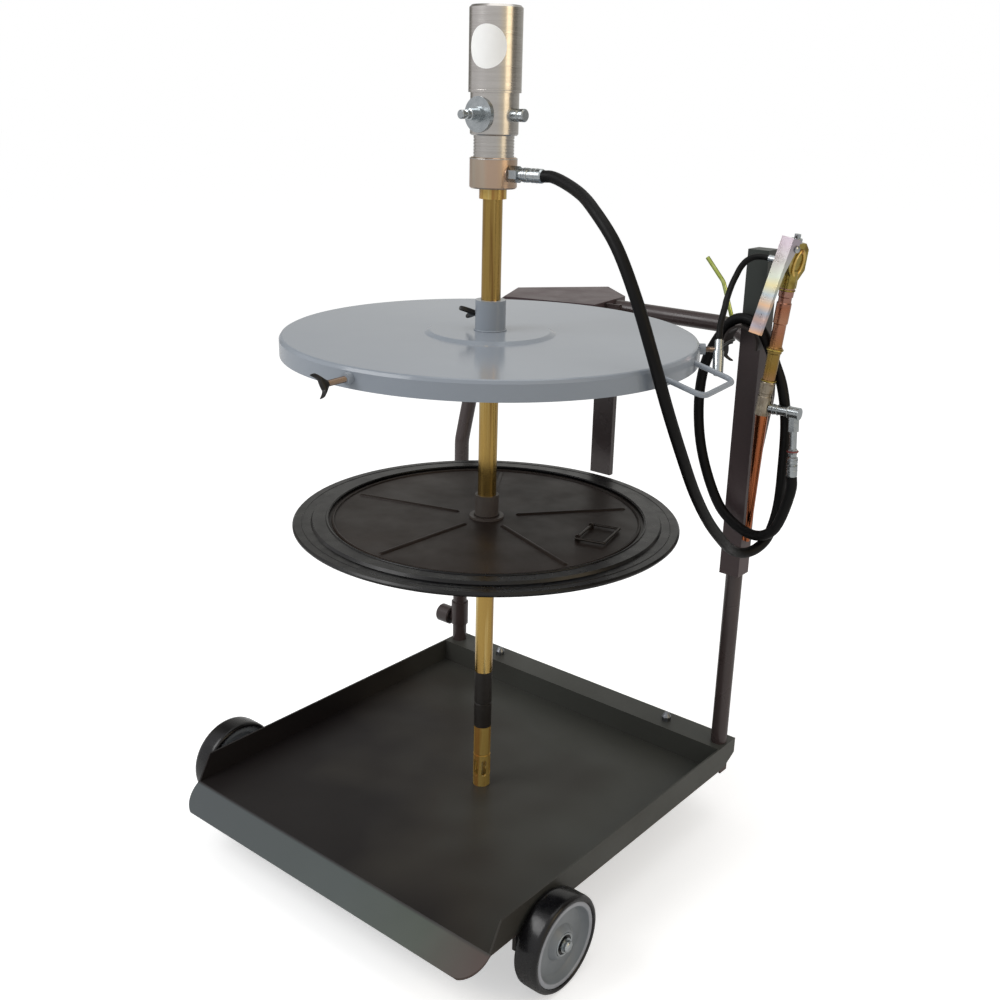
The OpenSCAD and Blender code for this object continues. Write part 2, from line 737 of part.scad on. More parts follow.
module shelf() place() color("#4a3d40") {
  translate([0, 0, shelf_z]) linear_extrude(shelf_t) polygon(shelf_pts);
  difference() {
    for (e = [[0, 4], [4, 3]]) {
      a = shelf_pts[e[0]];
      b = shelf_pts[e[1]];
      translate([a[0], a[1], shelf_z - shelf_lip_h]) rotate([0, 0, atan2(b[1] - a[1], b[0] - a[0])])
        cube([norm(b - a), shelf_t, shelf_lip_h]);
    }
    at_bar() cylinder(r = handle_r + part_gap, h = 2 * shelf_w);
    translate([-channel_w / 2 - part_gap, channel_y - part_gap, shelf_z - shelf_lip_h - over])
      cube([channel_w + 2 * part_gap, channel_d + 2 * part_gap, shelf_lip_h + over]);
  }
  for (x = saddle_at) difference() {
    translate([x - saddle_w / 2, bar_y - handle_r, bar_z])
      cube([saddle_w, handle_d, handle_r]);
    at_bar() cylinder(r = handle_r + slip_fit, h = 2 * shelf_w);
  }
}
module hose_rest() place() color("#2b2a29") translate([rest_x, post_y0, rest_z]) rotate([90, 0, 0])
  difference() {
    union() {
      cylinder(r = rest_r, h = rest_l);
      translate([0, 0, rest_l - rest_t]) cylinder(r = rest_r + rest_t / 2, h = rest_t / 2);
    }
    translate([0, 0, -over]) cylinder(r = rest_r - rest_t, h = rest_l + 2 * over);
    translate([-2 * rest_r, -2 * rest_r - rest_lip, -over]) cube([4 * rest_r, 2 * rest_r, rest_l + 2 * over]);
  }

// ---- extension pipe

module pipe_frame() translate(pipe_foot) rotate([0, -pipe_lean, 0]) children();
module pipe_holder() place() color("#34322f") difference() {
  union() {
    pipe_frame() translate([0, 0, -holder_wall]) cylinder(d = pipe_d + 2 * holder_wall, h = holder_l);
    pipe_frame() translate([-holder_w / 2, bar_y - pipe_foot[1], holder_l / 2 - holder_wall])
      cube([holder_w, pipe_foot[1] - bar_y, holder_l / 2]);
  }
  pipe_frame() cylinder(d = pipe_d + 2 * slip_fit, h = holder_l);
  handle_shape(handle_r, 0);
}
module extension_pipe() place() color("#9aa04a") pipe_frame() translate([0, 0, part_gap]) {
  cylinder(d = pipe_d, h = pipe_l);
  translate([-pipe_bend_r, 0, pipe_l]) {
    rotate([90, 0, 0]) rotate_extrude(angle = pipe_bend) translate([pipe_bend_r, 0]) circle(d = pipe_d);
    rotate([0, -pipe_bend, 0]) translate([pipe_bend_r, 0, 0]) cylinder(d = pipe_d, h = pipe_tip_l);
  }
}

// ---- pump

module motor_barrel() place() color("#b5aea4") on_pump(motor_z) rotate_extrude() polygon([
  [motor_d / 2 - motor_wall, 0], [motor_d / 2, 0], [motor_d / 2, motor_l - motor_edge],
  [motor_d / 2 - motor_edge, motor_l], [0, motor_l], [0, motor_l - motor_wall],
  [motor_d / 2 - motor_wall, motor_l - motor_wall]]);
module neck_section() polygon(concat(
  [[rod_d / 2 + run_fit, 0], [neck_d / 2, 0]],
  [for (i = [0 : neck_groove_n - 1]) for (q = neck_groove_shares)
    [neck_d / 2 - q[0] * neck_groove, (i + q[1]) * neck_l / (neck_groove_n + 1)]],
  [[neck_d / 2, neck_l], [rod_d / 2 + run_fit, neck_l]]));
module valve_body() place() color("#aaa399") difference() {
  union() {
    on_pump(valve_z - neck_l) rotate_extrude() neck_section();
    on_pump(valve_z) rotate_extrude() polygon([
      [rod_d / 2 + run_fit, 0], [valve_d / 2 - valve_edge, 0], [valve_d / 2, valve_edge],
      [valve_d / 2, valve_l], [rod_d / 2 + run_fit, valve_l]]);
  }
  on_pump(inlet_z) rotate([90, 0, 0]) translate([0, 0, valve_d / 2 - inlet_disc_t / 2])
    cylinder(d = inlet_disc_d + 2 * slip_fit, h = inlet_disc_t);
  on_pump(inlet_z) rotate([0, 90, 0]) translate([0, 0, valve_d / 2 - inlet_disc_t])
    cylinder(d = plug_d, h = inlet_disc_t * 2);
}
module air_inlet() place() color("#b9bcbe") on_pump(inlet_z) rotate([90, 0, 0]) {
  face = valve_d / 2 + inlet_disc_t / 2 - valve_edge;
  translate([0, 0, valve_d / 2 - inlet_disc_t / 2])
    cylinder(d = inlet_disc_d, h = face - valve_d / 2 + inlet_disc_t / 2);
  translate([0, 0, face]) rotate_extrude() polygon(concat([[0, 0]],
    [for (q = nipple_shares) [q[1], q[0] * (inlet_reach - face)]], [[0, inlet_reach - face]]));
}
module side_plug() place() color("#b9bcbe") on_pump(inlet_z) rotate([0, 90, 0]) {
  from = valve_d / 2 - inlet_disc_t;
  l = plug_reach - from;
  translate([0, 0, from]) turned(plug_d, l, plug_shares);
}
module outlet_block() place() color("#a59e93") difference() {
  union() {
    on_pump(tube_top) rotate_extrude() polygon([
      [0, 0], [outlet_d / 2 - valve_edge, 0], [outlet_d / 2, valve_edge],
      [outlet_d / 2, outlet_l - valve_edge], [outlet_d / 2 - valve_edge, outlet_l], [0, outlet_l]]);
    on_pump(outlet_z) rotate([0, 90, 0]) cylinder(d = outlet_boss_d, h = outlet_boss_x + over);
  }
  on_pump(tube_top - over) cylinder(d = rod_d + 2 * run_fit, h = outlet_l + 2 * over);
}
module outlet_fitting() place() color("silver") on_pump(outlet_z) rotate([0, 90, 0]) {
  seat = max(outlet_boss_x + over, outlet_d / 2);
  translate([0, 0, seat]) difference() {
    cylinder(d = fitting_d, h = fitting_x1 - seat, $fn = 6);
    translate([0, 0, -over]) cylinder(d = hose_d / 2, h = fitting_x1);
  }
}
module pump_ferrule() place() color("silver") on_pump(outlet_z) rotate([0, 90, 0])
  translate([0, 0, fitting_x1]) turned(ferrule_d, ferrule_x1 - fitting_x1, ferrule_shares);
module gland_ring() place() color("#c09a4a") on_pump(tube_top - gland_h) difference() {
  cylinder(d = gland_d, h = gland_h);
  translate([0, 0, -over]) cylinder(d = tube_d, h = gland_h + 2 * over);
}
module suction_tube() place() color("#967d3c") on_pump(tube_z) pipe(tube_d, tube_wall, tube_top - tube_z);
module pump_cylinder() place() color("#2f2d2b") on_pump(cylinder_z) difference() {
  turned(tube_d, cylinder_l, joint_shares);
  translate([0, 0, -over]) cylinder(d = tube_d - 2 * cylinder_wall, h = cylinder_l + 2 * over);
}
module foot_valve() place() color("#b8973f") on_pump(foot_z) difference() {
  cylinder(d = foot_d, h = foot_l);
  translate([0, 0, -over]) cylinder(d = foot_d - 2 * foot_wall, h = seat_z + over);
  cylinder(d = seat_d, h = foot_l);
  translate([0, 0, seat_z + seat_t]) cylinder(d = foot_d - 2 * foot_wall, h = foot_l);
  translate([0, 0, groove_z]) difference() {
    cylinder(d = foot_d + over, h = groove_w);
    translate([0, 0, -over]) cylinder(d = foot_d - 2 * groove_deep, h = groove_w + 2 * over);
  }
  for (k = [0 : slot_n - 1]) rotate([0, 0, slot_turn + k * 360 / slot_n]) {
    translate([0, -slot_w / 2, slot_z + slot_w / 2]) cube([foot_d, slot_w, slot_l - slot_w]);
    for (h = [slot_w / 2, slot_l - slot_w / 2]) translate([0, 0, slot_z + h]) rotate([0, 90, 0])
      cylinder(d = slot_w, h = foot_d);
  }
}
ball_seat = sqrt(pow(ball_d / 2 + part_gap, 2) - pow(seat_d / 2, 2));
module check_ball() place() color("silver") on_pump(foot_z + seat_z + seat_t + ball_seat) sphere(d = ball_d);
module air_piston() place() color("#8a8f94") {
  low = cylinder_z + plunger_rest;
  on_pump(low) cylinder(d = tube_d - 2 * cylinder_wall - 2 * run_fit, h = plunger_t);
  on_pump(low) cylinder(d = rod_d, h = motor_z + over + piston_t - low);
  on_pump(motor_z + over) cylinder(d = motor_d - 2 * motor_wall - 2 * run_fit, h = piston_t);
}

// ---- drum cover

module rim_bosses(d, from, to) for (a = [rim_angle_front, rim_angle_right, rim_angle_left])
  radial(a, from, 0) cylinder(d = d, h = to - from);
module cover_pan() place() color("#9ea3a8") on_pump(0) difference() {
  union() {
    rotate_extrude() polygon([
      [sleeve_d / 2 + slip_fit, cover_top + rise_h - cover_t],
      [rise_d / 2 - rise_slope, cover_top + rise_h - cover_t], [rise_d / 2, cover_top - cover_t],
      [cover_d / 2 - edge_r, cover_top - cover_t], [cover_d / 2 - cover_t, cover_top - edge_r],
      [cover_d / 2 - cover_t, cover_z], [cover_d / 2, cover_z], [cover_d / 2, cover_top - edge_r],
      [cover_d / 2 - edge_r / 2, cover_top - edge_r / 4], [cover_d / 2 - edge_r, cover_top],
      [rise_d / 2, cover_top], [rise_d / 2 - rise_slope, cover_top + rise_h],
      [sleeve_d / 2 + slip_fit, cover_top + rise_h]]);
    translate([0, 0, screw_z]) rim_bosses(boss_d, cover_d / 2 - cover_t / 2, cover_d / 2 + boss_l);
  }
  translate([0, 0, screw_z])
    rim_bosses(stud_d + 2 * run_fit, cover_d / 2 - boss_l, cover_d / 2 + boss_l + over);
}
module cover_sleeve() place() color("#9ea3a8") on_pump(0) difference() {
  translate([0, 0, cover_top - cover_t]) cylinder(d = sleeve_d, h = sleeve_h + cover_t);
  translate([0, 0, cover_z]) cylinder(d = tube_d + 2 * run_fit, h = skirt_h + sleeve_h + over);
  radial(sleeve_angle, 0, cover_top + sleeve_screw_up) cylinder(d = stud_d + 2 * run_fit, h = sleeve_d);
}
// Stud with a winged plastic head, standing on local +Z
module wing_screw(l) {
  cylinder(d = stud_d, h = l + wing_hub_l / 2);
  translate([0, 0, l]) cylinder(d = wing_hub_d, h = wing_hub_l);
  translate([0, wing_t / 2, l + wing_hub_l / 2]) rotate([90, 0, 0]) linear_extrude(wing_t)
    for (s = [-1, 1]) rotate([0, 0, 90 - s * wing_a]) {
      translate([0, -wing_w / 2]) square([wing_l, wing_w]);
      translate([wing_l, 0]) circle(d = wing_w);
    }
}
module rim_screw(a, spin, l) place() color("#26241f") on_pump(0)
  radial(a, cover_d / 2 - boss_l / 2, screw_z) rotate([0, 0, spin]) wing_screw(boss_l * 1.5 + l);
module rim_screw_front() rim_screw(rim_angle_front, front_spin, front_stud_l);
module rim_screw_right() rim_screw(rim_angle_right, right_spin, rim_stud_l);
module rim_screw_left() rim_screw(rim_angle_left, left_spin, rim_stud_l);
module sleeve_screw() place() color("#26241f") on_pump(0) {
  from = tube_d / 2 + part_gap;
  radial(sleeve_angle, from, cover_top + sleeve_screw_up) rotate([0, 0, sleeve_spin])
    wing_screw(sleeve_d / 2 - from + sleeve_stud_l);
}
module wire_loop() place() color("#a9adb0") on_pump(0) difference() {
  rotate([0, 0, loop_angle]) translate([cover_d / 2, 0, cover_top - loop_drop])
    rotate([0, loop_tilt, 0]) {
      leg = loop_reach - loop_bend;
      for (s = [0, 1]) mirror([0, s, 0]) {
        translate([-edge_r * 2, loop_w / 2, 0]) rotate([0, 90, 0]) cylinder(d = loop_rod, h = leg + edge_r * 2);
        translate([leg, loop_w / 2 - loop_bend, 0]) rotate_extrude(angle = 90)
          translate([loop_bend, 0]) circle(d = loop_rod);
        translate([loop_reach, 0, 0]) rotate([-90, 0, 0]) cylinder(d = loop_rod, h = loop_w / 2 - loop_bend);
      }
    }
  cylinder(d = cover_d, h = cover_top * 2);
}

// ---- follower plate

module rib_beads(r, h) for (k = [0 : rib_n - 1]) rotate([0, 0, rib_turn + k * 360 / rib_n]) {
  translate([rib_from, 0, h]) rotate([0, 90, 0]) cylinder(r = r, h = disc_d / 2 - rib_margin - rib_from);
  for (x = [rib_from, disc_d / 2 - rib_margin]) translate([x, 0, h]) sphere(r = r);
}
module follower_disc() place() color("#3c3835") on_pump(0) difference() {
  union() {
    translate([0, 0, disc_z]) cylinder(d = disc_d, h = disc_t);
    intersection() {
      rib_beads(rib_r, disc_top + rib_h - rib_r);
      translate([0, 0, disc_z]) cylinder(d = disc_d, h = rib_r * 2);
    }
    translate([0, 0, disc_top]) rotate_extrude() translate([ring_bead_at, 0])
      circle(d = ring_bead_d, $fn = 8);
    for (s = [-1, 1]) bail_place() translate([0, s * (bail_w / 2 - lug_t * 2) - lug_t / 2, 0])
      difference() {
        union() {
          translate([-lug_h / 2, 0, -disc_t / 2]) cube([lug_h, lug_t, (lug_h + disc_t) / 2]);
          translate([0, 0, lug_h / 2]) rotate([-90, 0, 0]) cylinder(d = lug_h, h = lug_t);
        }
        translate([0, -over, lug_h / 2]) rotate([-90, 0, 0])
          cylinder(d = bail_rod + 2 * run_fit, h = lug_t + 2 * over);
      }
  }
  translate([0, 0, disc_z - over]) cylinder(d = tube_d + 4 * slip_fit, h = disc_t + 2 * over);
}
module bail_place() rotate([0, 0, bail_angle]) translate([bail_at, 0, disc_top]) children();
module follower_bail() place() color("#6b6a66") on_pump(0) bail_place() translate([0, 0, lug_h / 2]) {
  for (s = [0, 1]) mirror([0, s, 0]) {
    rotate([-90, 0, 0]) cylinder(d = bail_rod, h = bail_w / 2);
    translate([0, bail_w / 2, 0]) rotate([0, 90, 0]) cylinder(d = bail_rod, h = bail_l);
    translate([bail_l, 0, 0]) rotate([-90, 0, 0]) cylinder(d = bail_rod, h = bail_w / 2);
    for (x = [0, bail_l]) translate([x, bail_w / 2, 0]) sphere(d = bail_rod);
  }
}
module follower_lip() place() color("#161616") on_pump(follower_z) rotate_extrude() polygon([
  [tube_d / 2 + slip_fit, 0], [follower_d / 2 - lip_edge, 0], [follower_d / 2, lip_edge],
  [follower_d / 2, lip_ring_h - lip_edge], [follower_d / 2 - lip_edge, lip_ring_h],
  [lip_step_d / 2, lip_ring_h], [lip_step_d / 2 - lip_edge, lip_h], [disc_d / 2, lip_h],
  [disc_d / 2, lip_t], [tube_d / 2 + slip_fit, lip_t]]);
module follower_sleeve() place() color("#35322f") on_pump(disc_top) difference() {
  union() {
    cylinder(d = follower_sleeve_d, h = follower_sleeve_h);
    cylinder(d = flange_ring_d, h = flange_ring_t);
  }
  translate([0, 0, -over]) cylinder(d = tube_d + 2 * run_fit, h = follower_sleeve_h + 2 * over);
}

// ---- control gun

module gun_collar() place() color("#b09a5c") gun_frame()
  turned(gun_collar_d, gun_collar_l, gun_collar_shares);
module gun_grip() place() color("#a4724e") gun_frame() translate([0, 0, gun_collar_l])
  turned(grip_d, grip_l, grip_shares);
module gun_body() place() color("#b8a765") difference() {
  gun_frame() translate([0, 0, body_z]) {
    rotate([0, 0, gun_turn]) along_x(body_t)
      polygon([for (q = body_shares) q * gun_body_l]);
    cylinder(d = gun_neck_d, h = gun_body_l * gun_neck_share);
  }
  lever_frame() rotate([0, 90, 0]) cylinder(d = pin_d + 2 * run_fit, h = lever_w * 2, center = true);
  outlet_frame() translate([0, 0, body_t / 2]) cylinder(d = outlet_d2, h = lever_w);
}
module outlet_frame() gun_frame() translate([0, 0, body_z + outlet_up]) rotate([0, -90, 0]) children();
module gun_cap() place() color("silver") gun_frame() translate([0, 0, body_z + gun_body_l]) {
  cylinder(d = gun_cap_d, h = gun_cap_h, $fn = 6);
  translate([0, 0, gun_cap_h]) cylinder(d = gun_tip_d, h = gun_tip_h);
}
module lever_pin() place() color("silver") lever_frame() rotate([0, 90, 0])
  cylinder(d = pin_d, h = lever_w + lever_t, center = true);
module gun_lever() place() color("#c9b98a") lever_frame() rotate([-lever_open, 0, 0]) difference() {
  union() {
    translate([-lever_w / 2, -lever_off - lever_t, lever_top - lever_l])
      cube([lever_w, lever_t, lever_l]);
    for (s = [-1, 1]) translate([s * (lever_w - lever_t) / 2, 0, 0]) along_x(lever_t) polygon(concat(
      [[-lever_off - lever_t, lever_top]],
      [for (q = flange_shares) [-lever_off + q[0] * (lever_off + pin_d), lever_top * (1 - q[1]) + (lever_top - lever_l) * q[1]]],
      [[-lever_off - lever_t, lever_top - lever_l]]));
  }
  rotate([0, 90, 0]) cylinder(d = pin_d + 2 * run_fit, h = lever_w * 2, center = true);
}
module gun_outlet() place() color("silver") outlet_frame() {
  translate([0, 0, body_t / 2]) cylinder(d = outlet_d2, h = outlet_out - body_t / 2);
  translate([0, 0, lever_w / 2 + lever_t + part_gap]) cylinder(d = outlet_hex, h = outlet_hex_l, $fn = 6);
}
module swivel_elbow() place() color("silver") difference() {
  union() {
    translate([elbow_x0, gun_y, elbow_z]) rotate([0, 90, 0]) {
      translate([0, 0, -gun_collar_d / 4]) cylinder(d = elbow_d, h = elbow_x1 - elbow_x0);
      translate([0, 0, elbow_ring_w / 2]) cylinder(d = elbow_ring_d, h = elbow_ring_w);
      cylinder(d = elbow_ring_d - over, h = elbow_leg_x - elbow_x0);
      translate([0, 0, elbow_leg_x - elbow_x0 - elbow_head_d / 2]) cylinder(d = elbow_head_d, h = elbow_head_d);
    }
    elbow_leg() {
      cylinder(d = elbow_hex_d, h = elbow_hex_l, $fn = 6);
      cylinder(d = elbow_d, h = elbow_leg_l);
      translate([0, 0, elbow_leg_l]) cylinder(d = elbow_ring_d, h = gun_ferrule_at - elbow_leg_l, $fn = 6);
    }
  }
  gun_frame() cylinder(d = gun_collar_d, h = gun_collar_l);
}
module elbow_leg() translate([elbow_leg_x, gun_y, elbow_z]) rotate([0, 180 - elbow_lean, 0]) children();
module gun_ferrule() place() color("#3a3d40") elbow_leg() translate([0, 0, gun_ferrule_at])
  turned(gun_ferrule_d, gun_ferrule_l, ferrule_shares);
module gun_hanger() place() color("#a8693c") difference() {
  top = [gun_x, gun_y, gun_z];
  way = top - hanger_bottom;
  union() {
    translate(hanger_bottom) rotate(turn_to(way))
      cylinder(d1 = hanger_tip_d, d2 = hanger_d, h = norm(way) + over * 3);
    translate([post_x + post_w / 2, hanger_bottom[1] - hanger_foot_w / 2, hanger_bottom[2]])
      cube([hanger_bottom[0] - post_x - post_w / 2, hanger_foot_w, hanger_foot_l]);
  }
  gun_frame() translate([-hanger_d, -hanger_d, -part_gap]) cube([2 * hanger_d, 2 * hanger_d, hanger_d]);
}

// ---- hoses

module delivery_hose() place() color("#1d1d1f") cord(hose_route, hose_d, hose_sides);
module gun_hose() place() color("#1d1d1f") cord(thin_route, thin_d, thin_sides);
module hose_coupler() place() color("silver") translate(coupler_top)
  rotate([0, 180 - coupler_lean, coupler_way]) rotate_extrude()
  polygon([
    [0, 0], [coupler_neck_d / 2, 0], [coupler_neck_d / 2, coupler_neck_l],
    [coupler_d / 2, coupler_neck_l + over], [coupler_d / 2, coupler_l - 3 * over],
    [coupler_d / 2 - 2 * over, coupler_l], [mouth_d / 2, coupler_l], [mouth_d / 2, coupler_l - mouth_l],
    [0, coupler_l - mouth_l]]);

tray();
wheel_axle();
axle_brackets();
axle_caps();
castor_stems();
tyre_left();
rim_left();
tyre_right();
rim_right();
castor_fork_left();
castor_wheel_left();
castor_fork_right();
castor_wheel_right();
handle_tube();
handle_collar();
clamp_knob();
post();
shelf_channel();
shelf();
hose_rest();
gun_hanger();
pipe_holder();
extension_pipe();
motor_barrel();
valve_body();
air_inlet();
side_plug();
outlet_block();
outlet_fitting();
gland_ring();
suction_tube();
pump_cylinder();
foot_valve();
check_ball();
air_piston();
cover_pan();
cover_sleeve();
sleeve_screw();
rim_screw_front();
rim_screw_right();
rim_screw_left();
wire_loop();
follower_disc();
follower_lip();
follower_sleeve();
follower_bail();
gun_body();
gun_cap();
gun_lever();
lever_pin();
gun_grip();
gun_collar();
gun_outlet();
swivel_elbow();
delivery_hose();
pump_ferrule();
gun_ferrule();
gun_hose();
hose_coupler();
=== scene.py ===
"""Dress the grease pump kit on its drum trolley: finishes, hoses, small fittings and studio."""

import logging
import math
from dataclasses import dataclass, field
from enum import Enum

import bpy
from mathutils import Matrix, Vector


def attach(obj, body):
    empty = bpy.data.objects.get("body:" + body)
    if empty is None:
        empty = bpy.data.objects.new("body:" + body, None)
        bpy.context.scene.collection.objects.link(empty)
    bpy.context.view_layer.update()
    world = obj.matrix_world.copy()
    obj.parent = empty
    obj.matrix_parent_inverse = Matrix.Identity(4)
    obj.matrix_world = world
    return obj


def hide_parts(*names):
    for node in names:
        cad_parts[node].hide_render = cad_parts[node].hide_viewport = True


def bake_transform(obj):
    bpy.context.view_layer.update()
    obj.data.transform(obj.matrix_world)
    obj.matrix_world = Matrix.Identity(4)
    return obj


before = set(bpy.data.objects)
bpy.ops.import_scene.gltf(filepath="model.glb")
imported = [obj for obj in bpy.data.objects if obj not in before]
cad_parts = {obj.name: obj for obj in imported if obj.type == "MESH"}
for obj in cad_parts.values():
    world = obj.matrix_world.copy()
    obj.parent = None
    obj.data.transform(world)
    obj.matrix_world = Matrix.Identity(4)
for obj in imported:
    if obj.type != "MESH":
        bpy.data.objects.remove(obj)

LOG = logging.getLogger("grease_pump")
MM = 0.001
# Sides of a bead's own section, and the distance in metres below which its seam is merged.
BEAD_SIDES = 12
MERGE = 1e-6
# The source measures from the pump axis and the tray's middle; the row frame's origin is here.
MIDDLE = Vector((4.0, 66.0, 0.0))
PUMP_X = 35.5

Colour = tuple[float, float, float, float]
Point = tuple[float, float, float]


def linear(code: str) -> Colour:
    """Turn an sRGB hex colour into Blender's linear colour.

    Args:
        code: Six hex digits after a hash sign.

    Returns:
        Red, green, blue and alpha, linear.
    """
    parts = [int(code[i : i + 2], 16) / 255 for i in (1, 3, 5)]
    rgb = [c / 12.92 if c <= 0.04045 else ((c + 0.055) / 1.055) ** 2.4 for c in parts]
    return (rgb[0], rgb[1], rgb[2], 1.0)


def place(x: float, y: float, z: float) -> Vector:
    """Return a point of the source's millimetres in the row frame's metres."""
    return (Vector((x, y, z)) - MIDDLE) * MM


def add(tree: bpy.types.NodeTree, kind: str, settings: dict | None = None,
        links: dict | None = None) -> bpy.types.Node:
    """Add one shader node with its settings and links.

    Args:
        tree: The material's node tree.
        kind: Blender's name for the node type.
        settings: Attribute names, or input numbers and names after "in:", with their values.
        links: Input numbers or names with the output sockets that feed them.

    Returns:
        The new node.
    """
    node = tree.nodes.new(kind)
    for key, value in (settings or {}).items():
        if key.startswith("in:"):
            name = key[3:]
            node.inputs[int(name) if name.isdigit() else name].default_value = value
        else:
            setattr(node, key, value)
    for key, socket in (links or {}).items():
        tree.links.new(socket, node.inputs[key])
    return node


def ramp_of(tree: bpy.types.NodeTree, source: bpy.types.NodeSocket,
            stops: tuple[tuple[float, str], ...]) -> bpy.types.NodeSocket:
    """Turn a value into one of several colours that run into each other.

    Args:
        tree: The material's node tree.
        source: The value, 0 to 1.
        stops: Position and sRGB colour of each stop, in rising order.

    Returns:
        The colour output.
    """
    ramp = add(tree, "ShaderNodeValToRGB", None, {"Fac": source})
    marks = ramp.color_ramp.elements
    marks[0].position, marks[0].color = stops[0][0], linear(stops[0][1])
    marks[1].position, marks[1].color = stops[-1][0], linear(stops[-1][1])
    for position, code in stops[1:-1]:
        marks.new(position).color = linear(code)
    return ramp.outputs["Color"]


class Grain(Enum):
    """Which way a finish's streaks run."""

    NONE = (1.0, 1.0, 1.0)
    UP = (1.0, 1.0, 0.03)
    ROUND = (0.02, 0.02, 1.0)


@dataclass(frozen=True)
class Finish:
    """A surface finish that builds its own material once.

    Attributes:
        name: The material's name.
        colour: Main sRGB colour.
        second: The other sRGB colour of its slow variation.
        metallic: 1 for bare or plated metal.
        rough: Middle roughness.
        rough_spread: How far the roughness swings either way.
        patch_mm: Size of the slow colour patches.
        share: How much of the second colour shows, 0 to 1.
        grain: Direction of the streaks.
        bump_mm: Size of the fine relief.
        bump: Strength of the fine relief.
        coat: Clear coat weight.
        specular: The shader's specular level.
    """

    name: str
    colour: str
    second: str
    metallic: float = 0.0
    rough: float = 0.4
    rough_spread: float = 0.06
    patch_mm: float = 60.0
    share: float = 0.5
    grain: Grain = Grain.NONE
    bump_mm: float = 1.0
    bump: float = 0.1
    coat: float = 0.0
    specular: float = 0.5

    def colour_socket(self, tree: bpy.types.NodeTree, vector: bpy.types.NodeSocket) -> bpy.types.NodeSocket:
        """Build the colour pattern.

        Args:
            tree: The material's node tree.
            vector: Object coordinates, stretched along the grain.

        Returns:
            The colour output.
        """
        noise = add(tree, "ShaderNodeTexNoise",
                    {"in:Scale": 1000.0 / self.patch_mm, "in:Detail": 4.0, "in:Roughness": 0.6},
                    {"Vector": vector})
        ramp = add(tree, "ShaderNodeMapRange",
                   {"in:From Min": 0.35, "in:From Max": 0.65, "in:To Max": self.share},
                   {"Value": noise.outputs["Fac"]})
        mix = add(tree, "ShaderNodeMix",
                  {"data_type": "RGBA", "in:6": linear(self.colour), "in:7": linear(self.second)},
                  {0: ramp.outputs["Result"]})
        return mix.outputs[2]

    def material(self) -> bpy.types.Material:
        """Build this finish's material on its first use.

        Returns:
            The material.
        """
        found = bpy.data.materials.get(self.name)
        if found is not None:
            return found
        made = bpy.data.materials.new(self.name)
        made.use_nodes = True
        tree = made.node_tree
        tree.nodes.clear()
        where = add(tree, "ShaderNodeTexCoord")
        mapped = add(tree, "ShaderNodeMapping", {"in:Scale": self.grain.value},
                     {"Vector": where.outputs["Object"]})
        vector = mapped.outputs["Vector"]
        fine = add(tree, "ShaderNodeTexNoise",
                   {"in:Scale": 1000.0 / self.bump_mm, "in:Detail": 3.0}, {"Vector": vector})
        wide = add(tree, "ShaderNodeTexNoise",
                   {"in:Scale": 2600.0 / self.patch_mm, "in:Detail": 3.0}, {"Vector": vector})
        rough = add(tree, "ShaderNodeMapRange",
                    {"in:From Min": 0.3, "in:From Max": 0.7,
                     "in:To Min": max(0.02, self.rough - self.rough_spread),
                     "in:To Max": self.rough + self.rough_spread},
                    {"Value": wide.outputs["Fac"]})
        relief = add(tree, "ShaderNodeBump",
                     {"in:Strength": self.bump, "in:Distance": self.bump_mm * MM * 0.2},
                     {"Height": fine.outputs["Fac"]})
        shader = add(tree, "ShaderNodeBsdfPrincipled",
                     {"in:Metallic": self.metallic, "in:Coat Weight": self.coat, "in:Coat Roughness": 0.08,
                      "in:Specular IOR Level": self.specular},
                     {"Base Color": self.colour_socket(tree, vector),
                      "Roughness": rough.outputs["Result"], "Normal": relief.outputs["Normal"]})
        add(tree, "ShaderNodeOutputMaterial", None, {"Surface": shader.outputs["BSDF"]})
        made.diffuse_color = linear(self.colour)
        return made


@dataclass(frozen=True)
class ChromatePlate(Finish):
    """Yellow passivated zinc, whose thin film shifts between gold, olive and rose.

    Attributes:
        third: sRGB colour of the film's darkest patches.
    """

    third: str = "#8a5a4a"

    def colour_socket(self, tree: bpy.types.NodeTree, vector: bpy.types.NodeSocket) -> bpy.types.NodeSocket:
        """Build the film's soft patches.

        Args:
            tree: The material's node tree.
            vector: Object coordinates, stretched along the grain.

        Returns:
            The colour output.
        """
        noise = add(tree, "ShaderNodeTexNoise",
                    {"in:Scale": 1000.0 / self.patch_mm, "in:Detail": 3.0, "in:Roughness": 0.5,
                     "in:Distortion": 0.3}, {"Vector": vector})
        return ramp_of(tree, noise.outputs["Fac"],
                       ((0.34, self.third), (0.46, self.colour), (0.56, self.colour), (0.68, self.second)))


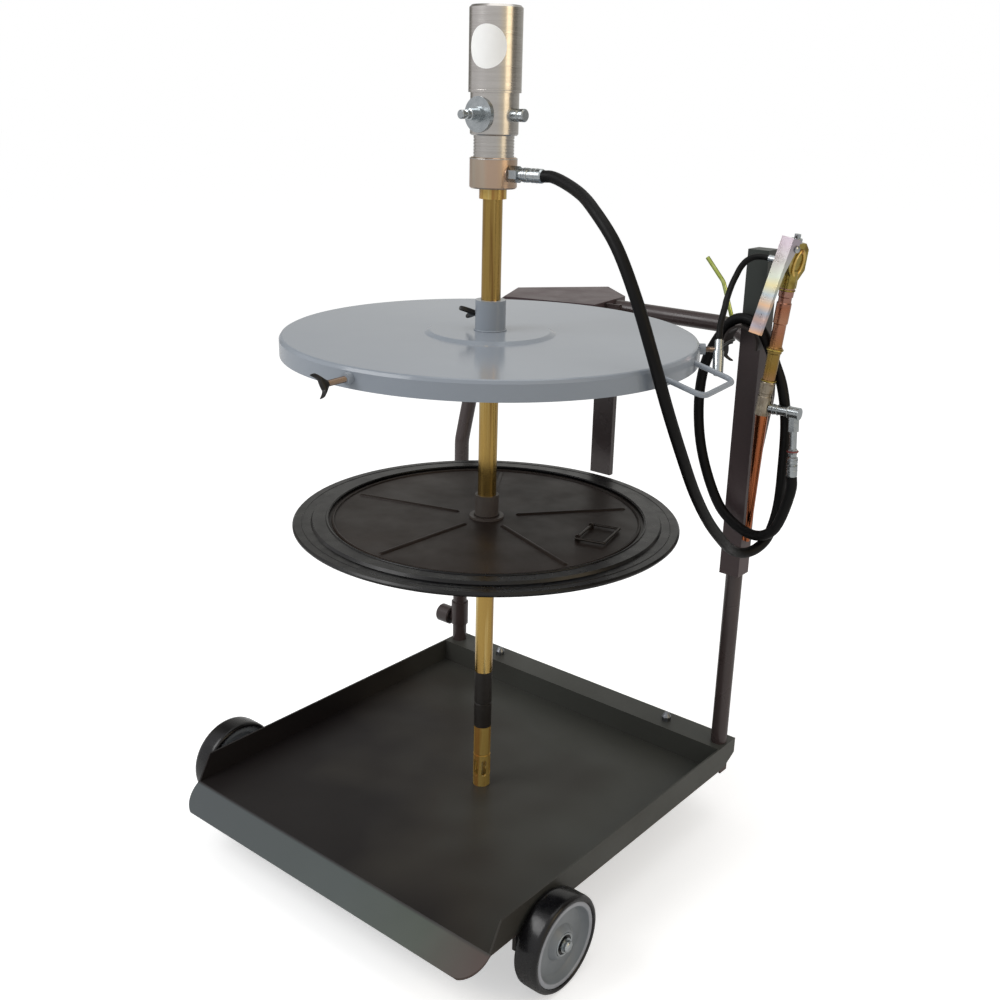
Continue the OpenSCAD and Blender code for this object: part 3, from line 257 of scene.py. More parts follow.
@dataclass(frozen=True)
class BandedPlate(ChromatePlate):
    """A film whose colour also changes along the piece, by height over the ground; on the post these bands are painted
    reflection and shade.

    Attributes:
        bands: Height in millimetres and sRGB colour of each band, upwards.
        waver_mm: How far noise pushes the bands up and down.
    """

    bands: tuple[tuple[float, str], ...] = ()
    waver_mm: float = 6.0

    def colour_socket(self, tree: bpy.types.NodeTree, vector: bpy.types.NodeSocket) -> bpy.types.NodeSocket:
        """Build the bands.

        Args:
            tree: The material's node tree.
            vector: Not used, because the bands follow the height.

        Returns:
            The colour output.
        """
        where = add(tree, "ShaderNodeTexCoord")
        parts = add(tree, "ShaderNodeSeparateXYZ", None, {0: where.outputs["Object"]})
        noise = add(tree, "ShaderNodeTexNoise", {"in:Scale": 1000.0 / self.patch_mm, "in:Detail": 2.0},
                    {"Vector": where.outputs["Object"]})
        push = add(tree, "ShaderNodeMapRange", {"in:To Min": -self.waver_mm * MM, "in:To Max": self.waver_mm * MM},
                   {"Value": noise.outputs["Fac"]})
        height = add(tree, "ShaderNodeMath", {"operation": "ADD"}, {0: parts.outputs["Z"], 1: push.outputs[0]})
        low, high = self.bands[0][0], self.bands[-1][0]
        span = add(tree, "ShaderNodeMapRange", {"in:From Min": low * MM, "in:From Max": high * MM},
                   {"Value": height.outputs[0]})
        return ramp_of(tree, span.outputs[0], tuple(((z - low) / (high - low), code) for z, code in self.bands))


@dataclass(frozen=True)
class TrayCoatWithPaintedReflection(Finish):
    """Powder coat with painted reflection: darker towards the front left, lighter towards the rear, and greener on the
    folded lip.

    Attributes:
        lip: The lip's colours from left to right, each with its place in metres, all painted reflection.
        dull: sRGB colour of the floor's front left part, a painted dark reflection.
        crease: Heights in metres between which the lip's painted reflection gives way to the floor's.
    """

    # The lip's colours and the floor's front left colour are painted reflection.
    lip: tuple[tuple[float, str], ...] = ((-0.28, "#4e5355"), (0.05, "#4a5150"), (0.2, "#454c44"), (0.31, "#4a3c38"))
    dull: str = "#1d1a1a"
    crease: tuple[float, float] = (0.103, 0.1055)

    def colour_socket(self, tree: bpy.types.NodeTree, vector: bpy.types.NodeSocket) -> bpy.types.NodeSocket:
        """Build the floor's painted reflection and the lip's painted reflection.

        Args:
            tree: The material's node tree.
            vector: Object coordinates.

        Returns:
            The colour output.
        """
        where = add(tree, "ShaderNodeTexCoord")
        parts = add(tree, "ShaderNodeSeparateXYZ", None, {0: where.outputs["Object"]})
        noise = add(tree, "ShaderNodeTexNoise", {"in:Scale": 1000.0 / self.patch_mm, "in:Detail": 2.0},
                    {"Vector": vector})
        # Painted reflection across the floor: darker towards the front left, lighter towards the rear right, waved by
        # noise.
        along = add(tree, "ShaderNodeVectorMath", {"operation": "DOT_PRODUCT", "in:1": (0.55, 1.0, 0.0)},
                    {0: where.outputs["Object"]})
        waved = add(tree, "ShaderNodeMath", {"operation": "MULTIPLY_ADD", "in:1": 0.85},
                    {0: noise.outputs["Fac"], 2: along.outputs["Value"]})
        painted_sheen = add(tree, "ShaderNodeMapRange", {"in:From Min": 0.1, "in:From Max": 0.6}, {"Value": waved.outputs[0]})
        floor = ramp_of(tree, painted_sheen.outputs[0], ((0.0, self.dull), (0.45, self.colour), (1.0, self.second)))
        # Painted reflection on the folded lip, changing from left to right.
        low = add(tree, "ShaderNodeMapRange", {"in:From Min": self.crease[0], "in:From Max": self.crease[1]},
                  {"Value": parts.outputs["Z"]})
        first, last = self.lip[0][0], self.lip[-1][0]
        across = add(tree, "ShaderNodeMapRange", {"in:From Min": first, "in:From Max": last},
                     {"Value": parts.outputs["X"]})
        folded = ramp_of(tree, across.outputs[0],
                         tuple(((x - first) / (last - first), colour) for x, colour in self.lip))
        mix = add(tree, "ShaderNodeMix", {"data_type": "RGBA"}, {0: low.outputs[0], 6: folded, 7: floor})
        return mix.outputs[2]


# Powder coated sheet steel, even and slightly rippled, with painted reflection: darker in front, lighter towards the
# rear and greener on the folded lip.
TRAY_COAT_AND_PAINTED_REFLECTION = TrayCoatWithPaintedReflection("PowderCoatTray", "#33302c", "#444541", rough=0.4, patch_mm=240, bump_mm=1.6, bump=0.05,
                       specular=0.18)
# Powder coat on brackets and small steel parts: brown-black and half matt.
FRAME_PAINT = Finish("PowderCoatDark", "#2e2827", "#302e2b", rough=0.4, patch_mm=240, share=0.9, bump_mm=1.6,
                     bump=0.05, specular=0.25)
# The same coat on the post, its colour painted by height as reflection and shade: warmer and lighter low down, darker
# from about 840 mm up, greener near its top.
POST_COAT_AND_PAINTED_LIGHT = BandedPlate("PowderCoatPost", "#2b2523", "#33302d", rough=0.42, patch_mm=120, bump_mm=1.6, bump=0.04,
                         specular=0.3, waver_mm=20.0,
                         bands=((100, "#463b3a"), (400, "#4c4041"), (600, "#4c4142"), (840, "#3a3132"),
                                (880, "#363a37"), (980, "#3a3e3b")))
# Powder coat on bent tube: glossier, so it takes long light streaks.
TUBE_PAINT = Finish("PowderCoatTube", "#372d2c", "#3f3535", rough=0.28, patch_mm=120, bump_mm=1.6, bump=0.04,
                    specular=0.45)
# Powder coat on the shelf with a painted reflection: a pale purple-brown cast, as it looks at a low angle.
SHELF_COAT_AND_PAINTED_REFLECTION = Finish("PowderCoatPlum", "#45383a", "#504143", rough=0.42, patch_mm=90, bump_mm=1.6, bump=0.04,
                     specular=0.35)
# Powder coated pressed plate: warm brown-black, nearly matt.
FOLLOWER_PAINT = Finish("PowderCoatBrown", "#251e1a", "#342b26", rough=0.4, patch_mm=130, bump_mm=1.8, bump=0.04,
                        specular=0.15)
# The follower's welded sleeve: grey-brown, paler than the disc.
SLEEVE_PAINT = Finish("PowderCoatSleeve", "#4a4340", "#565049", rough=0.38, patch_mm=30, bump_mm=1.0, bump=0.04,
                      specular=0.4)
# Stoved blue-grey enamel: smooth, with a soft gloss that mirrors the sleeve faintly.
COVER_PAINT = Finish("EnamelBlueGrey", "#848b94", "#8d949b", rough=0.17, rough_spread=0.015, patch_mm=400,
                     bump_mm=60.0, bump=0.0, coat=0.06, specular=0.33)
# Moulded solid rubber: black, smooth, with one soft highlight.
TYRE = Finish("MouldedTyre", "#08080a", "#101013", rough=0.26, patch_mm=30, bump_mm=1.2, bump=0.03, coat=0.1,
              specular=0.3)
# Moulded castor rubber: matt black.
CASTOR_TREAD = Finish("CastorTread", "#151516", "#1c1c1e", rough=0.5, patch_mm=20, bump_mm=0.8, bump=0.1,
                      specular=0.3)
# Moulded grey nylon: fine grained and half matt.
RIM = Finish("MouldedNylonGrey", "#757a7e", "#7d8286", rough=0.42, patch_mm=35, bump_mm=0.9, bump=0.04)
# The rim's outer edge: the same nylon, paler.
RIM_EDGE = Finish("MouldedNylonPale", "#8d9096", "#96999e", rough=0.38, patch_mm=35, bump_mm=0.9, bump=0.03)
# Moulded phenolic: deep black with a low gloss.
KNOB = Finish("MouldedPhenolicBlack", "#0b0a0a", "#141312", rough=0.34, patch_mm=12, bump_mm=0.7, bump=0.06,
              specular=0.35)
# Nitrile rubber lip: smooth and blue-black.
LIP_RUBBER = Finish("NitrileLip", "#060607", "#0b0a0b", rough=0.3, patch_mm=60, bump_mm=40.0, bump=0.0,
                    specular=0.33)
# Extruded hose cover: black, matt, finely grained.
HOSE_RUBBER = Finish("HoseCover", "#040404", "#080708", rough=0.5, patch_mm=18, bump_mm=0.8, bump=0.06,
                     specular=0.16)
# Black oxide on turned steel: brown-black with faint marks round it.
OXIDE = Finish("BlackOxide", "#1b1815", "#25211d", rough=0.42, patch_mm=14, grain=Grain.ROUND, bump_mm=0.6,
               bump=0.08, specular=0.3)
# Bright zinc plate: cool grey, sharp highlights that vary a little.
ZINC = Finish("BrightZinc", "#adb2b4", "#92989b", metallic=1.0, rough=0.25, rough_spread=0.05, patch_mm=9,
              bump_mm=0.6, bump=0.02)
# Bare steel stud: brownish grey from oil.
STUD = Finish("BareStud", "#8f7d6e", "#75655a", metallic=1.0, rough=0.3, patch_mm=6, grain=Grain.ROUND,
              bump_mm=0.6, bump=0.1)
# Pressed and zinc plated steel: dull grey.
CASTOR_STEEL = Finish("PressedSteelZinc", "#85888c", "#74777b", metallic=1.0, rough=0.34, patch_mm=12,
                      bump_mm=0.8, bump=0.05)
# Turned nickel plate: fine marks round the barrel, drawn coarser than real ones so that they show.
NICKEL = Finish("TurnedNickel", "#bcb9b5", "#a8a49f", metallic=1.0, rough=0.24, rough_spread=0.05, patch_mm=4,
                share=0.5, grain=Grain.ROUND, bump_mm=0.4, bump=0.03)
# Nickel over bronze on the outlet block: warmer than the motor.
HEAD_NICKEL = ChromatePlate("WarmNickelHead", "#bda48f", "#b9ad9d", metallic=1.0, rough=0.24, rough_spread=0.03,
                            patch_mm=40, grain=Grain.UP, bump_mm=0.5, bump=0.02, third="#a89c8c")
# Ground steel inside the pump: plain grey, seen only through the foot's slots.
INNER = Finish("GroundSteel", "#8a8f94", "#7c8186", metallic=1.0, rough=0.25, patch_mm=8)
# Oiled wire: dark brown-grey with a thin shine.
WIRE = Finish("DarkWire", "#3a3531", "#47413b", metallic=0.7, rough=0.36, patch_mm=10)
# Blank label film: white and smooth.
LABEL = Finish("BlankLabelFilm", "#f2f2f0", "#ececea", rough=0.35, rough_spread=0.02, patch_mm=20, bump=0.02)
# Moulded polymer ring: dull brick red.
RED_RING = Finish("RedPolymerRing", "#6d2a28", "#7e332f", rough=0.4, patch_mm=5)
# Yellow passivated zinc on drawn tube: gold with olive and brown streaks along it, partly the film's own patches and
# partly painted reflection.
TUBE_GOLD = ChromatePlate("YellowZincTube", "#a98b4c", "#cdb67a", metallic=0.9, rough=0.16, rough_spread=0.03,
                          patch_mm=11, grain=Grain.UP, bump_mm=0.6, bump=0.0, third="#7c5a30")
# The same film on turned pieces: brighter and more even.
FOOT_GOLD = ChromatePlate("YellowZincFoot", "#c9aa5e", "#ddca88", metallic=0.55, rough=0.2, rough_spread=0.03,
                          patch_mm=11, grain=Grain.UP, bump_mm=0.6, bump=0.01, third="#a87a3c")
# Yellow passivated casting: olive gold in soft patches.
GUN_ZINC = ChromatePlate("YellowZincGun", "#a5924e", "#bfae74", metallic=1.0, rough=0.27, patch_mm=26,
                         bump_mm=0.7, bump=0.02, third="#7d6a38")
# Worn passivation on the collar: khaki grey.
COLLAR_ZINC = ChromatePlate("KhakiZincCollar", "#93897a", "#a89f8c", metallic=1.0, rough=0.3, patch_mm=14,
                            bump_mm=20.0, bump=0.0, third="#7d6f5c")
# Thick passivation on the pressed lever: cream, rose and blue bands along it.
LEVER_ZINC = BandedPlate("RainbowZincLever", "#cdb880", "#bcc3bd", metallic=1.0, rough=0.3, patch_mm=40,
                         bump_mm=0.7, bump=0.0, waver_mm=5.0,
                         bands=((856, "#efd9b4"), (866, "#e0b48e"), (876, "#b4afba"), (886, "#d2b6ac"),
                                (897, "#a8b2bf"), (907, "#dab795"), (920, "#b5c1c6"), (933, "#dcd3a6"),
                                (945, "#d0d8c9"), (970, "#c3bfc0"), (990, "#b8adb6")))
# Heat tinted zinc on the grip: rose copper above, olive gold below.
GRIP_COPPER = BandedPlate("RoseZincGrip", "#a8714f", "#b98a63", metallic=1.0, rough=0.25, patch_mm=30,
                          bump_mm=0.7, bump=0.01, waver_mm=4.0,
                          bands=((788, "#9a7450"), (806, "#8d7038"), (834, "#8f7842"), (844, "#a4744a"),
                                 (862, "#a9745a"), (880, "#b58468"), (898, "#a86f54"), (908, "#a37869"),
                                 (928, "#ae877a")))
# Copper coloured film on the tapered hanger tube: orange, polished.
HANGER_COPPER = ChromatePlate("OrangeZincHanger", "#b4683a", "#c58358", metallic=1.0, rough=0.2, patch_mm=60,
                              grain=Grain.UP, bump_mm=0.7, bump=0.0, third="#985838")
# Green-yellow passivation on the bent pipe: even and half matt.
PIPE_ZINC = ChromatePlate("GreenZincPipe", "#a3b05c", "#bcc681", metallic=0.85, rough=0.3, patch_mm=24,
                          bump_mm=0.6, bump=0.01, third="#8d9a52")

NODE_FINISH: dict[str, Finish] = {
    "tray": TRAY_COAT_AND_PAINTED_REFLECTION, "axle_brackets": FRAME_PAINT, "handle_tube": TUBE_PAINT,
    "handle_collar": TUBE_PAINT, "post": POST_COAT_AND_PAINTED_LIGHT, "shelf_channel": TUBE_PAINT,
    "hose_rest": FRAME_PAINT, "pipe_holder": FRAME_PAINT, "clamp_knob": TUBE_PAINT, "shelf": SHELF_COAT_AND_PAINTED_REFLECTION,
    "wheel_axle": ZINC, "axle_caps": ZINC, "castor_stems": CASTOR_STEEL,
    "castor_fork_left": CASTOR_STEEL, "castor_fork_right": CASTOR_STEEL,
    "castor_wheel_left": CASTOR_TREAD, "castor_wheel_right": CASTOR_TREAD,
    "tyre_left": TYRE, "tyre_right": TYRE, "rim_left": RIM, "rim_right": RIM,
    "gun_hanger": HANGER_COPPER, "extension_pipe": PIPE_ZINC, "motor_barrel": NICKEL,
    "valve_body": NICKEL, "outlet_block": HEAD_NICKEL, "air_inlet": ZINC, "side_plug": ZINC,
    "outlet_fitting": ZINC, "pump_ferrule": ZINC, "gland_ring": FOOT_GOLD, "suction_tube": TUBE_GOLD,
    "pump_cylinder": OXIDE, "foot_valve": FOOT_GOLD, "check_ball": INNER, "air_piston": INNER,
    "cover_pan": COVER_PAINT, "cover_sleeve": COVER_PAINT, "wire_loop": COVER_PAINT,
    "sleeve_screw": KNOB, "rim_screw_front": KNOB, "rim_screw_right": KNOB, "rim_screw_left": KNOB,
    "follower_disc": FOLLOWER_PAINT, "follower_sleeve": SLEEVE_PAINT, "follower_lip": LIP_RUBBER,
    "follower_bail": WIRE, "gun_body": GUN_ZINC, "gun_cap": ZINC, "gun_lever": LEVER_ZINC,
    "lever_pin": ZINC, "gun_grip": GRIP_COPPER, "gun_collar": COLLAR_ZINC, "gun_outlet": ZINC,
    "swivel_elbow": ZINC, "gun_ferrule": ZINC, "hose_coupler": ZINC,
    "delivery_hose": HOSE_RUBBER, "gun_hose": HOSE_RUBBER,
}


def dress_nodes() -> None:
    """Give every CAD node its finish."""
    for name, finish in NODE_FINISH.items():
        item = bpy.data.objects[name]
        item.data.materials.clear()
        item.data.materials.append(finish.material())
    LOG.info("dressed %d CAD nodes", len(NODE_FINISH))


def clear_selection() -> None:
    """Leave edit mode and deselect every object."""
    if bpy.context.object is not None and bpy.context.object.mode != "OBJECT":
        bpy.ops.object.mode_set(mode="OBJECT")
    bpy.ops.object.select_all(action="DESELECT")


def settle(item: bpy.types.Object, name: str, matrix: Matrix, finish: Finish, body: str,
           angle: float = 40.0) -> bpy.types.Object:
    """Name a finished mesh, put its place into its mesh and let it ride on its body.

    Args:
        item: The object, made at the origin.
        name: Its name.
        matrix: Its place in the row frame.
        finish: Its finish.
        body: The CAD body that carries it.
        angle: Faces that meet below this many degrees are shaded smooth.

    Returns:
        The same object.
    """
    clear_selection()
    item.name = name
    item.data.name = name
    item.matrix_world = matrix
    bpy.context.view_layer.objects.active = item
    item.select_set(True)
    bpy.ops.object.transform_apply(location=True, rotation=True, scale=True)
    bpy.ops.object.shade_smooth_by_angle(angle=math.radians(angle))
    item.data.materials.clear()
    item.data.materials.append(finish.material())
    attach(item, body)
    LOG.info("piece %s rides on %s", name, body)
    return item


def turned(steps: list[tuple[float, float]], sides: int = 48, ring: bool = False) -> bpy.types.Object:
    """Turn a round piece on +Z by extruding and scaling a circle.

    Args:
        steps: Radius and height of each step in millimetres, in the order that a lathe would cut them.
        sides: Sides of the circle.
        ring: Join the last circle to the first, for a piece with a hole through it.

    Returns:
        The new object, active, in object mode.
    """
    clear_selection()
    radius, height = steps[0]
    bpy.ops.mesh.primitive_circle_add(vertices=sides, radius=radius * MM, location=(0, 0, height * MM),
                                      fill_type="NOTHING" if ring else "NGON")
    item = bpy.context.object
    bpy.ops.object.transform_apply(location=True, rotation=True, scale=True)
    bpy.ops.object.mode_set(mode="EDIT")
    bpy.ops.mesh.select_mode(type="VERT")
    bpy.ops.mesh.select_all(action="SELECT")
    for (last_wide, last_tall), (wide, tall) in zip(steps, steps[1:]):
        bpy.ops.mesh.extrude_region_move(TRANSFORM_OT_translate={"value": (0, 0, (tall - last_tall) * MM)})
        ratio = max(wide, 0.01) / max(last_wide, 0.01)
        bpy.ops.transform.resize(value=(ratio, ratio, 1))
    if ring:
        bpy.ops.mesh.select_all(action="DESELECT")
        bpy.ops.mesh.select_mode(type="EDGE")
        bpy.ops.mesh.select_non_manifold()
        bpy.ops.mesh.bridge_edge_loops()
    bpy.ops.mesh.select_all(action="SELECT")
    bpy.ops.mesh.normals_make_consistent(inside=False)
    bpy.ops.object.mode_set(mode="OBJECT")
    return item


def ring_bead(radius: float, thick: float, sides: int = 96) -> bpy.types.Object:
    """Spin a small circle round +Z into a bead that lies flat.

    Args:
        radius: Radius of its middle line in millimetres.
        thick: Its own diameter in millimetres.
        sides: Steps round the ring.

    Returns:
        The new object, active, in object mode.
    """
    clear_selection()
    bpy.ops.mesh.primitive_circle_add(vertices=BEAD_SIDES, radius=thick / 2 * MM, location=(radius * MM, 0, 0),
                                      rotation=(math.pi / 2, 0, 0))
    item = bpy.context.object
    bpy.ops.object.transform_apply(location=True, rotation=True, scale=True)
    bpy.ops.object.mode_set(mode="EDIT")
    bpy.ops.mesh.select_mode(type="VERT")
    bpy.ops.mesh.select_all(action="SELECT")
    bpy.ops.mesh.spin(steps=sides, angle=2 * math.pi, center=(0, 0, 0), axis=(0, 0, 1))
    bpy.ops.mesh.select_all(action="SELECT")
    bpy.ops.mesh.remove_doubles(threshold=MERGE)
    bpy.ops.mesh.normals_make_consistent(inside=False)
    bpy.ops.object.mode_set(mode="OBJECT")
    return item


def copies_of(item: bpy.types.Object, count: int) -> list[bpy.types.Object]:
    """Copy a shape that repeats, each copy with its own mesh.

    Args:
        item: The shape, modelled once.
        count: How many are needed in all.

    Returns:
        The shape itself and its copies.
    """
    made = [item]
    for _ in range(count - 1):
        twin = item.copy()
        twin.data = item.data.copy()
        bpy.context.scene.collection.objects.link(twin)
        made.append(twin)
    return made


def select_faces(item: bpy.types.Object, way: Vector, share: float = 0.9) -> None:
    """Select the faces of a mesh that look one way and stay in edit mode.

    Args:
        item: The mesh object.
        way: The direction, one unit long.
        share: Least cosine between a face's normal and the direction.
    """
    bpy.ops.object.mode_set(mode="EDIT")
    bpy.ops.mesh.select_mode(type="FACE")
    bpy.ops.mesh.select_all(action="DESELECT")
    bpy.ops.object.mode_set(mode="OBJECT")
    for face in item.data.polygons:
        face.select = face.normal.dot(way) > share
    bpy.ops.object.mode_set(mode="EDIT")


def apply_modifiers(item: bpy.types.Object) -> None:
    """Apply every modifier of an object.

    Args:
        item: The object.
    """
    clear_selection()
    bpy.context.view_layer.objects.active = item
    item.select_set(True)
    for modifier in list(item.modifiers):
        bpy.ops.object.modifier_apply(modifier=modifier.name)


def spin_at(place_of: Vector, *turns: tuple[float, str]) -> Matrix:
    """Build a place followed by turns about its own axes.

    Args:
        place_of: The place in metres.
        turns: Degrees and axis of each turn, in order.

    Returns:
        The matrix.
    """
    matrix = Matrix.Translation(place_of)
    for angle, axis in turns:
        matrix = matrix @ Matrix.Rotation(math.radians(angle), 4, axis)
    return matrix


def smooth_line(points: list[Point], per_span: int) -> list[Vector]:
    """Run one smooth curve through the route's points.

    Args:
        points: The route in source millimetres.
        per_span: Steps between two points.

    Returns:
        Points of the curve in the row frame's metres.
    """
    knots = [place(*p) for p in points]
    knots = [knots[0] * 2 - knots[1]] + knots + [knots[-1] * 2 - knots[-2]]
    line: list[Vector] = []
    for i in range(1, len(knots) - 2):
        a, b, c, d = knots[i - 1 : i + 3]
        t1 = (b - a).length ** 0.5
        t2 = t1 + (c - b).length ** 0.5
        t3 = t2 + (d - c).length ** 0.5
        for k in range(per_span):
            t = t1 + (t2 - t1) * k / per_span
            a1 = a * ((t1 - t) / t1) + b * (t / t1)
            a2 = b * ((t2 - t) / (t2 - t1)) + c * ((t - t1) / (t2 - t1))
            a3 = c * ((t3 - t) / (t3 - t2)) + d * ((t - t2) / (t3 - t2))
            b1 = a1 * ((t2 - t) / t2) + a2 * (t / t2)
            b2 = a2 * ((t3 - t) / (t3 - t1)) + a3 * ((t - t1) / (t3 - t1))
            line.append(b1 * ((t2 - t) / (t2 - t1)) + b2 * ((t - t1) / (t2 - t1)))
    line.append(knots[-2])
    return line


def length_of(line: list[Vector]) -> float:
    """Return the length of a line of points."""
    return sum((b - a).length for a, b in zip(line, line[1:]))


@dataclass
class Hose:
    """A rubber hose along a route of given points.

    Attributes:
        name: The piece's name.
        node: The CAD node that it replaces.
        diameter: Outer diameter in millimetres.
        route: Its points, in source millimetres.
        far_end: What its far end goes into; not used.
        fittings: The CAD nodes on it; not used.
        sides: Sides of its section.
        per_span: Steps between two points of the route.
    """

    name: str
    node: str
    diameter: float
    route: list[Point]
    far_end: str
    fittings: list[str] = field(default_factory=list)
    sides: int = 24
    per_span: int = 6

    def build(self) -> bpy.types.Object:
        """Sweep the hose along its route into a mesh.

        Returns:
            The hose.
        """
        line = smooth_line(self.route, self.per_span)
        curve = bpy.data.curves.new(self.name, "CURVE")
        curve.dimensions = "3D"
        curve.bevel_depth = self.diameter / 2 * MM
        curve.bevel_resolution = self.sides // 4
        curve.use_fill_caps = True
        spline = curve.splines.new("POLY")
        spline.points.add(len(line) - 1)
        for point, where in zip(spline.points, line):
            point.co = (*where, 1.0)
        item = bpy.data.objects.new(self.name, curve)
        bpy.context.scene.collection.objects.link(item)
        clear_selection()
        bpy.context.view_layer.objects.active = item
        item.select_set(True)
        bpy.ops.object.convert(target="MESH")
        item = bpy.context.object
        bpy.ops.object.shade_smooth_by_angle(angle=math.radians(50))
        item.data.materials.clear()
        item.data.materials.append(HOSE_RUBBER.material())
        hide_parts(self.node)
        LOG.info("hose %s is %.2f m long", self.name, length_of(line))
        return item


DELIVERY = Hose(
    "DeliveryHose", "delivery_hose", 16.0,
    [(123.4, 0, 1075.7), (138, 0, 1075.7), (194, -16, 1060), (237, -38, 1040), (279, -50, 1003),
     (317, -55, 941), (342, -48, 872), (353, -23, 802), (358, 12, 735), (359, 53, 672), (356, 104, 616),
     (350, 162, 569), (338, 209, 541), (337, 233, 528), (343, 253, 522), (350, 272, 525),
     (357, 288, 537), (361, 298, 558), (366, 300, 591), (371, 292, 653), (367, 293, 729),
     (356, 292, 780), (342, 292, 810), (332, 284, 838), (322, 279, 858), (308, 279, 869),
     (290, 280, 873), (273, 282, 868), (257, 284, 851), (232, 284, 804), (223, 285, 746),
     (232, 284, 671), (258, 282, 605), (285, 277, 570), (317, 273, 552), (344, 270, 547),
     (363, 269, 552), (379, 270, 567), (397.4, 272, 633.3), (396.1, 272, 651.3)],
    "fitting", ["pump_ferrule", "gun_ferrule"])
GUN_HOSE = Hose(
    "GunHose", "gun_hose", 9.0,
    [(326, 272, 965.1), (316, 272, 966.1), (304.5, 269.5, 965), (295, 264.5, 959.5), (289.5, 258, 950),
     (288, 250, 939.5), (288.5, 240, 930), (291, 229, 921.5), (295, 217, 914.5), (300, 204, 908.5),
     (306, 191, 903), (311, 179, 897.5), (315, 168, 889.5), (318.3, 159.1, 879.8), (321, 154.8, 871.2),
     (323.6, 150.6, 862.5)],
    "connector", ["hose_coupler"])


def hang_hoses() -> None:
    """Make both hoses; the thin one rides on the trolley, the delivery hose keeps its place in its mesh."""
    delivery = DELIVERY.build()
    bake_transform(delivery)
    thin = GUN_HOSE.build()
    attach(thin, "trolley")


@dataclass(frozen=True)
class ScrewSeat:
    """Where one wing screw sits.

    Attributes:
        name: First part of its pieces' names.
        node: The CAD node that it replaces.
        body: The body that it turns on.
        angle: Degrees round the pump axis.
        start: Radius where the stud begins, in millimetres.
        height: Height over the ground in millimetres.
        stud: Length of the stud up to the head in millimetres.
        spin: Turn of the head about its stud in degrees.
    """

    name: str
    node: str
    body: str
    angle: float
    start: float
    height: float
    stud: float
    spin: float


@dataclass(frozen=True)
class WingScrews:
    """Bare studs with fat plastic wing heads that clamp the cover, all lengths in millimetres.

    Attributes:
        seats: Where they sit.
        pitch: Distance between two threads.
        core: Radius of the stud between its threads.
        crest: Radius of the stud on its threads.
        tip: Radius of the stud's end.
        block: Width, depth and height of the block that a head is drawn from.
        middle: Height of the block's middle over the end of the stud.
        arms: Step out, step up and thinning of each stretch of a wing.
        arm_taper: How much narrower each stretch is than the one before.
        collar: How far the collar under the block reaches down, and its share of the block's width.
        sink: How far the stud reaches into the head.
    """

    seats: tuple[ScrewSeat, ...] = (
        ScrewSeat("FrontScrew", "rim_screw_front", "rim_clamp_front", -85.5, 295.5, 839.8, 45.5, 30),
        ScrewSeat("RightScrew", "rim_screw_right", "rim_clamp_right", 36.5, 295.5, 839.8, 35.5, 10),
        ScrewSeat("LeftScrew", "rim_screw_left", "rim_clamp_left", 156.5, 295.5, 839.8, 35.5, 90),
        ScrewSeat("SleeveScrew", "sleeve_screw", "sleeve_clamp", 200.0, 14.3, 880.0, 9.7, -60))
    pitch: float = 1.6
    core: float = 3.5
    crest: float = 4.0
    tip: float = 3.4
    block: Point = (10.0, 9.0, 13.0)
    middle: float = 5.5
    arms: tuple[Point, ...] = ((2.0, 0.6, 0.62), (4.2, 4.2, 0.92), (3.4, 4.8, 0.96), (1.6, 2.4, 0.96))
    arm_taper: float = 0.97
    collar: tuple[float, float] = (2.5, 0.7)
    sink: float = 4.0

    def thread(self, stud: float) -> bpy.types.Object:
        """Cut a stud with a shallow thread.

        Args:
            stud: Its length up to the head in millimetres.

        Returns:
            The stud, on +Z.
        """
        steps = [(self.tip, 0.0)]
        for turn in range(int(stud / self.pitch)):
            steps += [(self.crest, (turn + 0.35) * self.pitch), (self.core, (turn + 0.85) * self.pitch)]
        return turned(steps + [(self.core, stud + self.sink)], 20)

    def head(self) -> bpy.types.Object:
        """Draw two leaning wings out of a block and round it all over.

        Returns:
            The head, on +Z.
        """
        clear_selection()
        bpy.ops.mesh.primitive_cube_add(size=MM, location=(0, 0, self.middle * MM))
        item = bpy.context.object
        item.scale = self.block
        bpy.ops.object.transform_apply(location=True, rotation=True, scale=True)
        for side in (1, -1):
            select_faces(item, Vector((side, 0, 0)))
            for out, up, thin in self.arms:
                bpy.ops.mesh.extrude_region_move(TRANSFORM_OT_translate={"value": (side * out * MM, 0, up * MM)})
                bpy.ops.transform.resize(value=(1, self.arm_taper, thin))
        down, share = self.collar
        select_faces(item, Vector((0, 0, -1)), 0.98)
        bpy.ops.mesh.extrude_region_move(TRANSFORM_OT_translate={"value": (0, 0, -down * MM)})
        bpy.ops.transform.resize(value=(share, share, 1))
        bpy.ops.mesh.select_all(action="SELECT")
        bpy.ops.mesh.normals_make_consistent(inside=False)
        bpy.ops.object.mode_set(mode="OBJECT")
        soft = item.modifiers.new("Round", "SUBSURF")
        soft.levels = soft.render_levels = 3
        apply_modifiers(item)
        return item

    def build(self) -> None:
        """Make each stud and head and set them on their clamp's body."""
        for seat, head in zip(self.seats, copies_of(self.head(), len(self.seats))):
            axis = spin_at(place(PUMP_X, 0, seat.height), (seat.angle, "Z"))
            axis = axis @ spin_at(Vector((seat.start * MM, 0, 0)), (90, "Y"), (seat.spin, "Z"))
            settle(self.thread(seat.stud), seat.name + "Stud", axis, STUD, seat.body)
            settle(head, seat.name + "Wings", axis @ Matrix.Translation((0, 0, seat.stud * MM)), KNOB,
                   seat.body, 60)
            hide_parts(seat.node)


@dataclass(frozen=True)
class WheelPiece:
    """One turned piece of a road wheel.

    Attributes:
        name: Last part of its name.
        steps: Radius and height of each step from the wheel's middle outwards, in millimetres.
        sides: Sides of the circle.
        ring: Whether a hole goes through it.
        finish: Its finish.
        slot: The record's material slot; not used.
        angle: Faces that meet below this many degrees are shaded smooth.
        stands_for: First part of the CAD node that it replaces, if it replaces one.
    """

    name: str
    steps: tuple[tuple[float, float], ...]
    sides: int
    ring: bool
    finish: Finish
    slot: str
    angle: float = 40.0
    stands_for: str = ""


